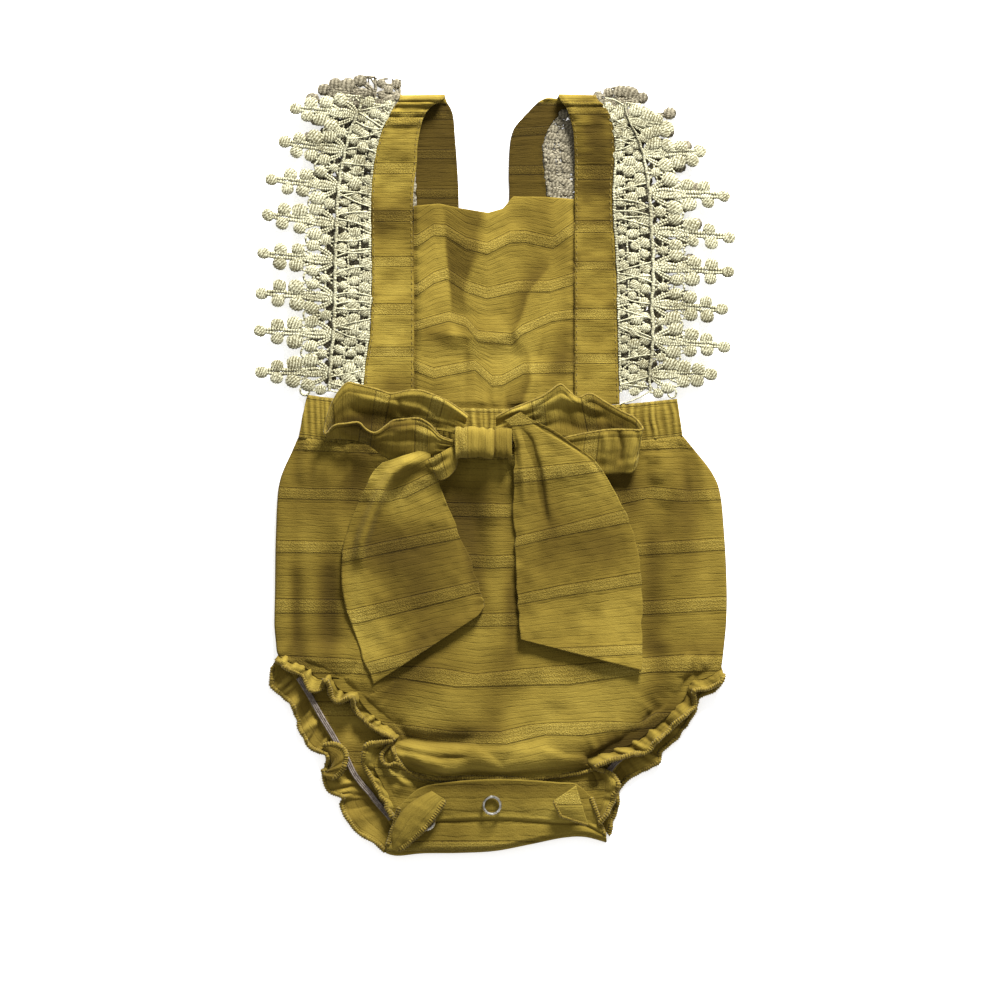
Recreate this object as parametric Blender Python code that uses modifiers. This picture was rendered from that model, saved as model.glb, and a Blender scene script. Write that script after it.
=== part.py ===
"""Baby romper laid flat with its front up: bloomers, bib, lace-trimmed straps and a bow.

The script works in metres with +Z up. +Y runs from the crotch to the shoulders, and left and
right are as someone who looks down on the front sees them. The origin is at the middle of the
underside. Tables and named sizes are in millimetres.
"""

import math

import bmesh
import bpy
import numpy as np

MM = 0.001

CLOTH = 1.2  # wall of one piece of cloth
SEAM = 0.3  # gap between two pieces at a seam
LAYER = 0.4  # gap between a flat piece and the one that lies on it
DRAPE = 0.8  # gap between a curved panel and what lies on it

BACK_TOP = CLOTH  # upper side of everything that lies on the table
SECOND_LAYER = BACK_TOP + LAYER  # wrong side of the pieces that lie on those

# Waistband at its left end, middle and right end
BAND_TOP = (38.5, 31.5, 36.5)  # y of the waistband's upper edge
BAND_BOTTOM = (17.4, 11.6, 18.4)  # y of its lower edge
BAND_TOP_X = (-94.0, -2.0, 91.0)
BAND_BOTTOM_X = (-98.4, -2.0, 93.8)
BAND_GATHERS = 32
BAND_GATHER_HEIGHT = 0.9
BAND_END_Z = 2.2  # wrong side of the front waistband at the side seams
BAND_RISE = 0.8  # how much higher its middle lies

# Side edges of the bloomers between the waistband and the legs: left_x, left_y, right_x, right_y
SIDE_EDGES = (
    (-98.4, 17.0, 93.8, 18.0),
    (-102.5, 8.0, 102.0, 8.0),
    (-108.0, -6.5, 111.5, -6.5),
    (-109.5, -30.0, 114.5, -30.0),
    (-110.0, -60.0, 116.0, -60.0),
    (-110.5, -79.0, 115.5, -80.0),
)

# Leg openings from the side seam to the crotch, one row for each ruffle of the hem:
# seam_x, seam_y (the elastic's line), hem_x, hem_y, hem_lift
FRONT_LEFT_LEG = (
    (-108.0, -91.0, -109.8, -94.2, 3.2),
    (-99.0, -93.5, -102.0, -99.2, 6.4),
    (-92.0, -95.5, -95.5, -102.2, 4.4),
    (-88.0, -97.0, -92.5, -109.2, 6.8),
    (-84.5, -98.5, -87.5, -108.7, 4.6),
    (-81.0, -100.0, -84.5, -104.3, 7.8),
    (-77.0, -103.0, -81.5, -113.2, 5.0),
    (-73.0, -106.0, -77.0, -114.8, 7.6),
    (-68.0, -109.5, -71.5, -112.8, 8.6),
    (-64.0, -113.5, -70.0, -118.6, 4.8),
    (-56.0, -121.0, -62.5, -126.8, 6.0),
    (-45.5, -131.0, -51.5, -134.0, 8.0),
    (-53.0, -139.0, -63.5, -136.6, 7.2),
    (-57.0, -147.0, -65.5, -145.0, 4.8),
    (-52.5, -156.0, -61.0, -155.2, 5.0),
    (-49.5, -166.0, -55.0, -165.2, 4.8),
    (-48.6, -174.0, -51.6, -173.8, 5.6),
)
FRONT_RIGHT_LEG = (
    (113.0, -96.0, 113.8, -101.0, 3.6),
    (108.0, -98.5, 114.0, -104.2, 7.2),
    (102.0, -100.5, 107.0, -108.2, 5.4),
    (95.0, -103.0, 99.5, -109.8, 7.8),
    (92.0, -110.0, 99.5, -117.2, 5.2),
    (86.5, -116.0, 93.5, -123.2, 7.4),
    (80.0, -122.0, 88.0, -128.4, 5.0),
    (73.0, -127.5, 81.5, -134.2, 7.0),
    (65.0, -132.5, 75.5, -140.2, 5.0),
    (55.0, -137.5, 67.0, -141.6, 8.6),
    (44.5, -143.5, 50.5, -147.4, 8.2),
    (49.0, -149.5, 58.5, -151.4, 5.0),
    (52.0, -156.0, 61.0, -157.0, 6.6),
    (50.5, -163.5, 58.5, -165.0, 5.0),
    (49.4, -169.5, 55.5, -171.4, 6.8),
    (48.8, -175.0, 51.6, -176.6, 5.4),
)
BACK_LEFT_LEG = (
    (-108.5, -92.0, -111.0, -97.0, 0.0),
    (-103.5, -99.0, -111.5, -106.8, 1.6),
    (-99.0, -105.8, -106.0, -112.2, 0.0),
    (-95.5, -111.5, -101.0, -117.0, 2.2),
    (-92.5, -117.0, -99.0, -124.0, 0.0),
    (-88.5, -124.0, -96.0, -132.2, 1.8),
    (-84.5, -130.5, -92.0, -138.6, 0.0),
    (-80.5, -137.5, -84.5, -141.4, 3.8),
    (-76.5, -144.0, -84.0, -147.8, 0.4),
    (-73.0, -151.0, -86.0, -151.4, 2.0),
    (-69.0, -156.5, -83.5, -159.6, 0.2),
    (-65.0, -161.0, -76.0, -162.6, 2.6),
    (-62.0, -165.0, -76.4, -167.0, 0.2),
    (-58.5, -169.0, -73.5, -174.0, 1.8),
    (-55.5, -172.5, -68.5, -180.4, 0.0),
    (-53.0, -176.0, -60.0, -185.4, 1.8),
    (-51.8, -178.0, -54.2, -190.8, 0.6),
)
BACK_RIGHT_LEG = (
    (112.5, -97.0, 114.0, -101.5, 0.0),
    (105.0, -103.0, 110.5, -109.0, 1.6),
    (98.0, -110.0, 101.5, -113.0, 0.0),
    (92.0, -117.5, 100.0, -119.0, 2.0),
    (86.0, -124.5, 95.5, -126.5, 0.0),
    (80.0, -130.5, 89.5, -134.4, 1.8),
    (75.5, -135.0, 82.5, -140.0, 0.0),
    (71.5, -138.5, 81.5, -145.6, 2.0),
    (67.0, -142.0, 73.5, -149.6, 0.2),
    (62.0, -146.5, 67.0, -153.6, 1.6),
    (58.0, -152.0, 62.0, -159.6, 0.0),
    (55.5, -159.0, 61.6, -165.0, 1.6),
    (54.0, -166.0, 59.5, -171.6, 0.0),
    (53.0, -172.0, 58.0, -177.6, 1.4),
    (52.4, -176.5, 57.6, -182.6, 0.0),
)

LEG_ROWS = 20  # mesh rows of a panel along a leg opening
SIDE_ROWS = 8
FRILL_ROWS_EACH = 2  # mesh rows of a frill for each row of its panel
FRONT_COLUMNS = 24
BACK_COLUMNS = 4
FRILL_COLUMNS = 2
FRILL_CLOTH = 1.0
FRILL_GAP = 0.45  # between the frill and the panel at the elastic
FRILL_SHIFT = 0.1  # moves the frill clear of the panel's corner

# Height of the front's wrong side above the table: y, at the edge, extra in the middle
BELLY = (
    (20.0, 2.3, 0.8),
    (5.0, 1.6, 2.2),
    (-30.0, SECOND_LAYER, 3.0),
    (-84.0, SECOND_LAYER, 3.8),
    (-95.0, 4.4, 2.4),
    (-120.0, 4.4, 3.2),
    (-140.0, 4.4, 4.6),
    (-149.0, 4.4, 2.4),
    (-158.0, 4.4, 0.4),
    (-168.0, 4.2, 0.1),
    (-176.0, 2.4, 0.1),
)
# Soft folds of the front, a ridge or with a negative height a trough: x0, y0, x1, y1, width, height
FRONT_FOLDS = (
    (-81.0, -40.0, -83.0, -84.0, 4.0, -1.0),
    (-95.0, -20.0, -96.0, -84.0, 8.0, 1.2),
    (5.0, 2.0, 3.0, -85.0, 8.0, 1.5),
    (-9.0, 5.0, -11.0, -60.0, 5.0, -1.0),
    (88.0, 8.0, 95.0, -82.0, 9.0, 1.2),
    (80.0, -10.0, 77.0, -95.0, 6.0, -0.9),
    (36.0, -84.0, 2.0, -124.0, 8.0, -1.3),
    (-38.0, -112.0, 20.0, -100.0, 7.0, 1.0),
    (-36.0, -144.0, 46.0, -138.0, 6.0, 1.5),
)
# Gathers under the waistband
WAIST_GATHERS = 12
WAIST_GATHER_HEIGHT = 0.9
WAIST_GATHER_REACH = 22.0
WAIST_GATHER_START = 6.0  # the gathers are at full height this far below the waistband

# Bib, a column for each place along its upper edge
BIB_TOP_X = (-40.1, -28.0, -18.0, -3.5, 4.0, 9.0, 26.0, 39.3)
BIB_TOP_Y = (133.0, 134.2, 132.0, 129.4, 131.6, 137.6, 137.4, 136.3)
BIB_SIDE = (-40.1, 39.3)
BIB_SEAM_Z = 2.6  # wrong side at the waistband, where the bib climbs onto it
BIB_EDGE = 8.0  # the bib lies flat this far in from its sides and seam
BIB_FOLDS = (
    (-23.0, 126.0, -20.0, 84.0, 4.0, 1.8),
    (14.0, 100.0, 24.0, 40.0, 5.0, 2.2),
    (28.0, 122.0, 30.0, 44.0, 4.0, 1.5),
    (-6.0, 112.0, 2.0, 60.0, 7.0, 1.2),
    (-30.0, 60.0, -8.0, 44.0, 5.0, 1.2),
)

# Straps. Front stretch from the waistband up: y, outer_x, inner_x, height of the wrong side
SHOULDER_RADIUS = 2.4  # inside radius of the fold over the shoulder
SHOULDER_STEPS = 6
LEFT_STRAP_FRONT = (
    (38.0, -65.6, -40.5, 2.6),
    (46.0, -65.5, -40.5, 2.0),
    (54.0, -64.8, -40.5, SECOND_LAYER),
    (68.0, -62.6, -40.5, 1.8),
    (82.0, -61.9, -40.5, 2.1),
    (98.0, -61.6, -40.6, SECOND_LAYER),
    (113.0, -61.8, -40.7, 1.9),
    (128.0, -62.0, -41.0, 2.0),
    (141.0, -61.8, -40.8, 2.2),
    (154.0, -60.5, -39.2, 2.8),
    (163.0, -58.8, -38.8, 3.7),
    (171.0, -56.2, -37.4, 4.7),
    (178.0, -52.8, -35.4, 5.5),
    (183.0, -50.0, -31.8, 5.9),
)
RIGHT_STRAP_FRONT = (
    (37.0, 62.4, 39.7, 2.6),
    (46.0, 62.0, 39.7, 2.0),
    (56.0, 61.7, 39.7, SECOND_LAYER),
    (68.0, 61.4, 39.7, 1.8),
    (82.0, 61.0, 39.7, 2.1),
    (98.0, 60.8, 39.7, SECOND_LAYER),
    (113.0, 60.0, 39.7, 1.9),
    (128.0, 58.9, 39.8, 2.0),
    (141.0, 58.7, 39.8, 2.3),
    (154.0, 59.6, 39.9, 3.0),
    (163.0, 60.0, 39.6, 3.9),
    (171.0, 59.4, 39.0, 4.8),
    (178.0, 57.5, 37.2, 5.5),
    (183.0, 54.9, 35.2, 5.9),
)
# The fold and the back stretch down to the waistband: left_x, left_y, right_x, right_y
LEFT_STRAP_BACK = (
    (-47.5, 189.3, -25.0, 189.6),
    (-43.5, 180.0, -21.2, 179.6),
    (-41.6, 167.0, -20.0, 167.2),
    (-40.6, 154.0, -19.0, 154.2),
    (-39.8, 138.0, -18.2, 138.0),
    (-39.0, 100.0, -17.6, 100.0),
    (-38.0, 36.6, -17.0, 34.4),
)
RIGHT_STRAP_BACK = (
    (31.8, 189.8, 50.6, 189.3),
    (23.6, 186.4, 42.4, 185.0),
    (15.0, 178.2, 33.0, 179.2),
    (9.0, 171.0, 27.0, 172.0),
    (7.2, 161.0, 24.0, 162.4),
    (6.8, 148.0, 25.0, 148.0),
    (7.0, 137.0, 26.4, 137.0),
    (6.0, 100.0, 26.4, 100.0),
    (5.0, 32.6, 26.0, 34.6),
)
STRAP_COLUMNS = 3

# Lace, a row for each finger from the shoulder down: root_y, tip_x, tip_y, lift at the tip
LEFT_LACE_FRONT = (
    (176.5, -103.5, 182.3, 1.0),
    (158.3, -110.0, 164.8, 0.2),
    (140.1, -115.5, 146.8, 1.2),
    (121.9, -119.0, 128.8, 0.2),
    (103.7, -121.0, 109.3, 1.0),
    (85.5, -121.5, 90.3, 0.2),
    (67.3, -121.5, 70.3, 1.2),
    (49.1, -122.0, 50.3, 0.6),
)
LEFT_LACE_BACK = (
    (176.0, -97.0, 187.6, 0.0),
    (158.0, -98.0, 168.0, 0.0),
    (140.0, -98.0, 148.0, 0.0),
    (122.0, -97.5, 126.0, 0.0),
    (104.0, -97.0, 106.0, 0.0),
    (86.0, -96.5, 87.0, 0.0),
    (68.0, -96.0, 68.0, 0.0),
    (50.0, -96.0, 50.0, 0.0),
)
RIGHT_LACE_FRONT = (
    (176.5, 87.5, 172.5, 1.0),
    (158.3, 107.5, 159.8, 0.2),
    (140.1, 119.5, 137.8, 1.4),
    (121.9, 122.0, 116.8, 0.2),
    (103.7, 121.5, 99.6, 1.0),
    (85.5, 118.5, 80.8, 0.2),
    (67.3, 119.0, 61.8, 1.2),
    (48.6, 112.5, 48.6, 0.6),
)
RIGHT_LACE_BACK = (
    (170.5, 80.0, 183.0, 0.0),
    (155.0, 84.0, 166.0, 0.0),
    (138.0, 85.0, 144.0, 0.0),
    (121.0, 84.0, 124.0, 0.0),
    (104.0, 84.0, 106.0, 0.0),
    (86.0, 83.5, 87.0, 0.0),
    (68.0, 83.0, 68.0, 0.0),
    (50.0, 82.0, 50.0, 0.0),
)
LACE_SEAM = 0.6
LACE_WIDTH = 60.0  # from the strap to the tip of a finger
LACE_THICKNESS = 1.2
LACE_WAVE = 0.5
LACE_PITCH = 20.0  # length of one repeat before the lace is sewn on
# Half of a finger's outline from the valley to the tip: out, along (half a repeat is 1)
FINGER_EDGE = (
    (42.5, 1.0),
    (43.5, 0.85),
    (46.0, 0.52),
    (48.0, 0.74),
    (52.0, 0.74),
    (54.0, 0.36),
    (58.5, 0.32),
    (60.0, 0.12),
)
# Openings between two fingers: out, radius out, radius along (half a repeat is 1), corners
LACE_HOLES = (
    (31.3, 2.9, 0.30, 8),
    (38.6, 2.1, 0.22, 6),
    (15.5, 2.9, 0.28, 5),
)
LACE_HOLES_HIDDEN = 1

# Bow tails from the knot down: left_x, left_y, right_x, right_y, lift off the front
LEFT_TAIL = (
    (-56.0, 4.4, -32.0, 12.2, 5.6),
    (-62.0, -2.6, -31.0, 2.0, 4.8),
    (-68.5, -15.8, -25.5, -12.2, 1.4),
    (-75.0, -34.2, -18.0, -30.8, 0.0),
    (-77.0, -47.0, -12.5, -44.2, 0.4),
    (-75.0, -64.2, -7.0, -60.2, 0.8),
    (-72.0, -76.0, -5.7, -64.6, 0.6),
    (-66.0, -93.2, -5.9, -67.4, 0.3),
    (-60.4, -106.2, -8.0, -71.8, 0.0),
)
RIGHT_TAIL = (
    (9.4, 22.6, 17.0, 27.0, 8.4),
    (9.4, 14.0, 33.0, 18.0, 7.6),
    (9.6, 0.8, 52.0, 3.0, 4.8),
    (9.2, -15.8, 62.5, -15.0, 1.2),
    (10.0, -34.2, 70.0, -33.0, 0.4),
    (11.0, -59.2, 73.0, -54.2, 0.8),
    (12.4, -75.0, 73.4, -76.8, 0.3),
    (13.2, -84.0, 73.2, -99.6, 0.0),
)
TAIL_COLUMNS = 8
TAIL_EDGE = 0.25  # share of a tail's width over which its folds die out at each side
TAIL_RISE = 1.0
TAIL_ROWS = 13
LEFT_TAIL_FOLDS = (
    (-48.0, -8.0, -52.0, -44.0, 6.0, 1.2),
    (-30.0, -20.0, -24.0, -62.0, 8.0, 1.0),
    (-60.0, -60.0, -44.0, -96.0, 9.0, 0.8),
)
RIGHT_TAIL_FOLDS = (
    (16.0, 14.0, 25.0, -24.0, 3.4, -2.2),
    (30.0, 6.0, 38.0, -60.0, 9.0, 1.4),
    (62.0, -30.0, 60.0, -90.0, 9.0, 1.0),
)

# Bow loops: a band that goes out under, turns at the tip and comes back over, a row for each
# place along it: low_x, low_y, low_z, high_x, high_y, high_z
LEFT_LOOP = (
    (-15.0, 10.4, 10.2, -15.0, 18.4, 10.4),
    (-22.0, 9.0, 9.8, -21.4, 20.0, 10.0),
    (-34.0, 5.0, 7.8, -30.0, 34.6, 7.6),
    (-46.0, 6.0, 7.8, -42.0, 39.0, 8.6),
    (-56.0, 8.0, 7.6, -52.0, 37.2, 6.4),
    (-66.0, 10.0, 7.4, -62.0, 39.6, 8.4),
    (-75.0, 12.5, 7.6, -72.0, 42.4, 6.4),
    (-81.5, 14.5, 9.2, -80.0, 30.0, 8.6),
    (-85.0, 16.4, 11.0, -84.8, 19.0, 12.0),
    (-80.0, 14.6, 12.4, -77.5, 20.6, 14.6),
    (-73.0, 13.2, 11.2, -68.0, 24.4, 15.4),
    (-64.0, 13.0, 10.2, -61.5, 19.4, 14.0),
    (-56.0, 10.0, 10.4, -53.0, 24.8, 16.0),
    (-46.0, 8.6, 9.6, -45.0, 23.4, 14.6),
    (-37.0, 8.2, 9.8, -37.0, 26.2, 16.0),
    (-27.0, 8.6, 11.2, -25.5, 18.8, 14.6),
    (-21.0, 9.8, 12.4, -21.0, 18.6, 13.6),
    (-15.0, 10.4, 12.4, -15.0, 18.0, 12.8),
)
RIGHT_LOOP = (
    (4.0, 10.4, 10.2, 4.0, 18.4, 10.4),
    (10.4, 9.0, 9.8, 10.4, 20.0, 10.0),
    (20.0, 6.0, 7.8, 21.0, 36.2, 7.4),
    (30.0, 5.0, 7.6, 31.0, 42.6, 9.0),
    (39.0, 3.0, 7.6, 39.0, 36.8, 6.8),
    (48.0, 2.0, 7.6, 48.0, 39.2, 8.6),
    (57.0, 1.0, 7.6, 58.0, 33.0, 6.8),
    (65.0, 0.5, 7.8, 68.0, 27.6, 8.2),
    (70.6, 0.2, 9.6, 73.6, 19.8, 10.6),
    (67.0, -0.4, 11.2, 70.0, 19.6, 12.6),
    (58.0, -0.6, 9.8, 60.0, 20.4, 12.0),
    (48.0, 1.0, 9.6, 50.0, 19.8, 11.4),
    (38.0, 3.0, 9.4, 40.0, 18.6, 10.6),
    (26.0, 5.5, 9.6, 27.0, 18.0, 10.8),
    (14.0, 9.0, 11.2, 15.0, 18.0, 11.8),
    (4.0, 10.4, 12.4, 4.0, 18.0, 12.8),
)
LOOP_COLUMNS = 3
LOOP_ROWS_EACH = 2

# Knot: a band wrapped round the middle of the bow
KNOT_TIGHT = 0.10  # share by which its middle is narrower
KNOT_SQUARE = 0.75  # under 1, its section is between a circle and a box
KNOT_LEFT_X = -20.0
KNOT_RIGHT_X = 8.4
KNOT_CENTRE_Y = 14.2
KNOT_HALF_HEIGHT = 8.6
KNOT_LOW_Z = 7.4
KNOT_HIGH_Z = 17.6
KNOT_SIDES = 14
KNOT_COLUMNS = 3

# Crotch band from its seam on the back, round the fold and up on the front:
# x along the fold, y of the fold, x along the free edge, y of the free edge
CROTCH_BAND = (
    (-50.6, -191.4, -43.0, -163.0),
    (-47.0, -192.4, -37.0, -158.2),
    (-36.0, -191.4, -26.0, -155.6),
    (-18.0, -191.2, -12.0, -154.2),
    (0.0, -190.2, 4.0, -153.6),
    (18.0, -186.8, 20.0, -154.4),
    (34.0, -183.6, 32.0, -155.4),
    (46.0, -183.6, 40.5, -156.2),
)
CROTCH_SEAM_Y = -178.6
CROTCH_FOLD_RADIUS = 1.0
CROTCH_DRAPE = 0.5  # gap between the front and the band on it
CROTCH_COLUMNS = 11
CROTCH_FRONT_ROWS = 6
# Turned-over corner of the band: x, y of its four corners
CORNER_GAP = 1.2  # room over the snap under the turned corner
CORNER_PUFF = 0.6
BAND_CORNER = ((29.2, -164.4), (40.4, -156.8), (46.6, -176.6), (33.0, -172.0))

SNAPS = (("snap_left", -34.5, -174.6), ("snap_middle", -1.5, -166.8), ("snap_right", 36.6, -166.4))
SNAP_RADIUS = 4.3
SNAP_WIRE = 0.7

ELASTIC_DIAMETER = 2.5
ELASTIC_INSET = 2.4

COLOURS = {
    "mustard_cotton": ((0.30, 0.20, 0.045), 0.85, 0.0),
    "cream_lace": ((0.72, 0.69, 0.55), 0.8, 0.0),
    "leg_elastic": ((0.20, 0.15, 0.15), 0.7, 0.0),
    "snap_metal": ((0.60, 0.60, 0.60), 0.25, 1.0),
}


def clear_scene():
    for existing in list(bpy.data.objects):
        bpy.data.objects.remove(existing, do_unlink=True)


def make_collection(name):
    collection = bpy.data.collections.new(name)
    bpy.context.scene.collection.children.link(collection)
    return collection


def make_material(name):
    colour, roughness, metallic = COLOURS[name]
    material = bpy.data.materials.new(name)
    material.use_nodes = True
    surface = material.node_tree.nodes["Principled BSDF"]
    surface.inputs["Base Color"].default_value = (*colour, 1.0)
    surface.inputs["Roughness"].default_value = roughness
    surface.inputs["Metallic"].default_value = metallic
    material.diffuse_color = (*colour, 1.0)
    return material


def finish(name, mesh_data, material_name):
    """Put a mesh in the collection as the node of that name, with a material of its own."""
    piece = bpy.data.objects.new(name, mesh_data)
    material = make_material(material_name)
    material.name = f"{name}_{material_name}"
    mesh_data.materials.append(material)
    mesh_data.shade_smooth()
    ROMPER.objects.link(piece)
    return piece


def thicken(piece, thickness):
    """Give an open surface its wall, on the side that its faces look to."""
    wall = piece.modifiers.new("wall", "SOLIDIFY")
    wall.thickness = thickness * MM
    wall.offset = 1.0


def sheet(name, material_name, place, columns, rows, thickness=CLOTH, reverse=False):
    """Cloth whose wrong side runs through place(u, v), with u across and v along."""
    grid = bmesh.new()
    bmesh.ops.create_grid(grid, x_segments=columns, y_segments=rows, size=0.5)
    for vertex in grid.verts:
        vertex.co = np.array(place(vertex.co.x + 0.5, vertex.co.y + 0.5)) * MM
    if reverse:
        bmesh.ops.reverse_faces(grid, faces=grid.faces[:])
    mesh_data = bpy.data.meshes.new(name)
    grid.to_mesh(mesh_data)
    grid.free()
    piece = finish(name, mesh_data, material_name)
    thicken(piece, thickness)
    return piece


def upright_wall(name, material_name, under, over, columns, rows):
    """Cloth with its wrong side through under(u, v) and its right side through over(u, v)."""
    grid = bmesh.new()
    bmesh.ops.create_grid(grid, x_segments=columns, y_segments=rows, size=0.5)
    extruded = bmesh.ops.extrude_face_region(grid, geom=grid.faces[:])
    upper = {item for item in extruded["geom"] if isinstance(item, bmesh.types.BMVert)}
    for vertex in grid.verts:
        side = over if vertex in upper else under
        vertex.co = np.array(side(vertex.co.x + 0.5, vertex.co.y + 0.5)) * MM
    bmesh.ops.recalc_face_normals(grid, faces=grid.faces[:])
    mesh_data = bpy.data.meshes.new(name)
    grid.to_mesh(mesh_data)
    grid.free()
    return finish(name, mesh_data, material_name)


def curve_at(rows, t):
    """Point at t from 0 to 1 on the smooth curve through the rows of a table."""
    table = np.asarray(rows, float)
    last = len(table) - 1
    place = min(max(t, 0.0), 1.0) * last
    start = min(int(place), last - 1)
    part = place - start
    before, here = table[max(start - 1, 0)], table[start]
    there, after = table[start + 1], table[min(start + 2, last)]
    return 0.5 * (
        2.0 * here
        + (there - before) * part
        + (2.0 * before - 5.0 * here + 4.0 * there - after) * part**2
        + (3.0 * here - before - 3.0 * there + after) * part**3
    )


def between(first, second, part):
    return first + (second - first) * part


def fold_height(folds, x, y):
    """Sum of the soft ridges and troughs of a table of folds at a point."""
    total = 0.0
    for x0, y0, x1, y1, width, height in folds:
        run = np.array((x1 - x0, y1 - y0))
        part = np.dot(np.array((x - x0, y - y0)), run) / np.dot(run, run)
        part = min(max(part, 0.0), 1.0)
        away = math.hypot(x - x0 - run[0] * part, y - y0 - run[1] * part)
        total += height * math.exp(-((away / width) ** 2))
    return total


def column_at(levels, values, y):
    """Value at height y from a table whose levels fall from the first row to the last."""
    return float(np.interp(-y, -np.asarray(levels, float), np.asarray(values, float)))


# Bloomers


def leg_seam(leg, t):
    """Point of the elastic's line along a leg opening, from the side seam to the crotch."""
    return curve_at(leg, t)[0:2]


def panel_edges(left_leg, right_leg):
    """Left and right points of each mesh row of a panel, from the waistband to the crotch."""
    edges = []
    for row in range(SIDE_ROWS):
        left_x, left_y, right_x, right_y = curve_at(SIDE_EDGES, row / SIDE_ROWS)
        edges.append(((left_x, left_y), (right_x, right_y)))
    for row in range(LEG_ROWS + 1):
        part = row / LEG_ROWS
        edges.append((leg_seam(left_leg, part), leg_seam(right_leg, part)))
    return np.array(edges)


FRONT_EDGES = panel_edges(FRONT_LEFT_LEG, FRONT_RIGHT_LEG)
BACK_EDGES = panel_edges(BACK_LEFT_LEG, BACK_RIGHT_LEG)


def front_under(x, y):
    """Height of the front's wrong side."""
    left = column_at(FRONT_EDGES[:, 0, 1], FRONT_EDGES[:, 0, 0], y)
    right = column_at(FRONT_EDGES[:, 1, 1], FRONT_EDGES[:, 1, 0], y)
    across = min(max((x - left) / (right - left), 0.0), 1.0)
    dome = math.sqrt(4.0 * across * (1.0 - across))
    levels = [row[0] for row in BELLY]
    edge = column_at(levels, [row[1] for row in BELLY], y)
    belly = column_at(levels, [row[2] for row in BELLY], y)
    below = max(BAND_BOTTOM[1] - y, 0.0)
    fade = math.exp(-below / WAIST_GATHER_REACH) * min(below / WAIST_GATHER_START, 1.0)
    wave = 0.5 - 0.5 * math.cos(2.0 * math.pi * WAIST_GATHERS * across)
    gather = WAIST_GATHER_HEIGHT * fade * wave
    rise = belly + fold_height(FRONT_FOLDS, x, y) + gather
    return max(edge + dome * rise, edge * 0.5 + SECOND_LAYER * 0.5)


def front_over(x, y):
    return front_under(x, y) + CLOTH


def table_top(x, y):
    """Height of what lies on the table."""
    return 0.0


def make_panel(name, edges, height, columns):
    rows = len(edges) - 1
    sag = BAND_BOTTOM[1] - (BAND_BOTTOM[0] + BAND_BOTTOM[2]) / 2.0

    def under(u, v):
        row = round((1.0 - v) * rows)
        x, y = between(*edges[row], u)
        y += sag * 4.0 * u * (1.0 - u) * max(1.0 - row / SIDE_ROWS, 0.0)
        return x, y, height(x, y)

    def over(u, v):
        x, y, z = under(u, v)
        return x, y, z + CLOTH

    upright_wall(name, "mustard_cotton", under, over, columns, rows)


def make_bloomers():
    make_panel("front_panel", FRONT_EDGES, front_under, FRONT_COLUMNS)
    make_panel("back_panel", BACK_EDGES, table_top, BACK_COLUMNS)


def make_frill(name, leg, edges, side, height):
    """Hem past the elastic: a ruffled strip beside the leg edge of its panel."""
    rows = LEG_ROWS * FRILL_ROWS_EACH
    outward = -1.0 if side == 0 else 1.0

    def under(u, v):
        step = round((1.0 - v) * rows)
        first = SIDE_ROWS + min(step // FRILL_ROWS_EACH, LEG_ROWS - 1)
        part = (step - (first - SIDE_ROWS) * FRILL_ROWS_EACH) / FRILL_ROWS_EACH
        seam = between(edges[first, side], edges[first + 1, side], part)
        hem = curve_at(leg, step / rows)
        way = hem[2:4] - seam
        start = seam + way / np.linalg.norm(way) * FRILL_GAP
        start += np.array((outward, -1.0)) * FRILL_SHIFT
        out = u if side == 1 else 1.0 - u
        x, y = between(start, hem[2:4], out)
        rise = between(height(*seam), hem[4], out**0.8)
        return x, y, rise

    def over(u, v):
        x, y, z = under(u, v)
        return x, y, z + FRILL_CLOTH

    upright_wall(name, "mustard_cotton", under, over, FRILL_COLUMNS, rows)


def make_frills():
    make_frill("leg_frill_front_left", FRONT_LEFT_LEG, FRONT_EDGES, 0, front_under)
    make_frill("leg_frill_front_right", FRONT_RIGHT_LEG, FRONT_EDGES, 1, front_under)
    make_frill("leg_frill_back_left", BACK_LEFT_LEG, BACK_EDGES, 0, table_top)
    make_frill("leg_frill_back_right", BACK_RIGHT_LEG, BACK_EDGES, 1, table_top)


def make_elastic(name, leg, side):
    """Elastic cord on the inside of the back, along the leg opening."""
    inward = 1.0 if side == 0 else -1.0
    route = bpy.data.curves.new(name, "CURVE")
    route.dimensions = "3D"
    route.bevel_depth = ELASTIC_DIAMETER / 2.0 * MM
    route.bevel_resolution = 2
    route.use_fill_caps = True
    line = route.splines.new("POLY")
    steps = 15
    line.points.add(steps)
    for index in range(steps + 1):
        x, y = leg_seam(leg, between(0.1, 0.9, index / steps))
        centre = (x + inward * ELASTIC_INSET, y, SECOND_LAYER - 0.1 + ELASTIC_DIAMETER / 2.0)
        line.points[index].co = (*(np.array(centre) * MM), 1.0)
    cord = bpy.data.objects.new(name, route)
    material = make_material("leg_elastic")
    material.name = f"{name}_leg_elastic"
    route.materials.append(material)
    ROMPER.objects.link(cord)


# Waistband


def band_edge(levels, places, u):
    """Point of an edge of the waistband, on the curve through its ends and its middle."""
    bend = 4.0 * u * (1.0 - u)
    x = between(places[0], places[2], u)
    y = between(levels[0], levels[2], u)
    return x, y + bend * (levels[1] - (levels[0] + levels[2]) / 2.0)


def band_place(u, v):
    low = np.array(band_edge(BAND_BOTTOM, BAND_BOTTOM_X, u))
    high = np.array(band_edge(BAND_TOP, BAND_TOP_X, u))
    return between(low + (0.0, SEAM), high - (0.0, SEAM), v)


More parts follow.
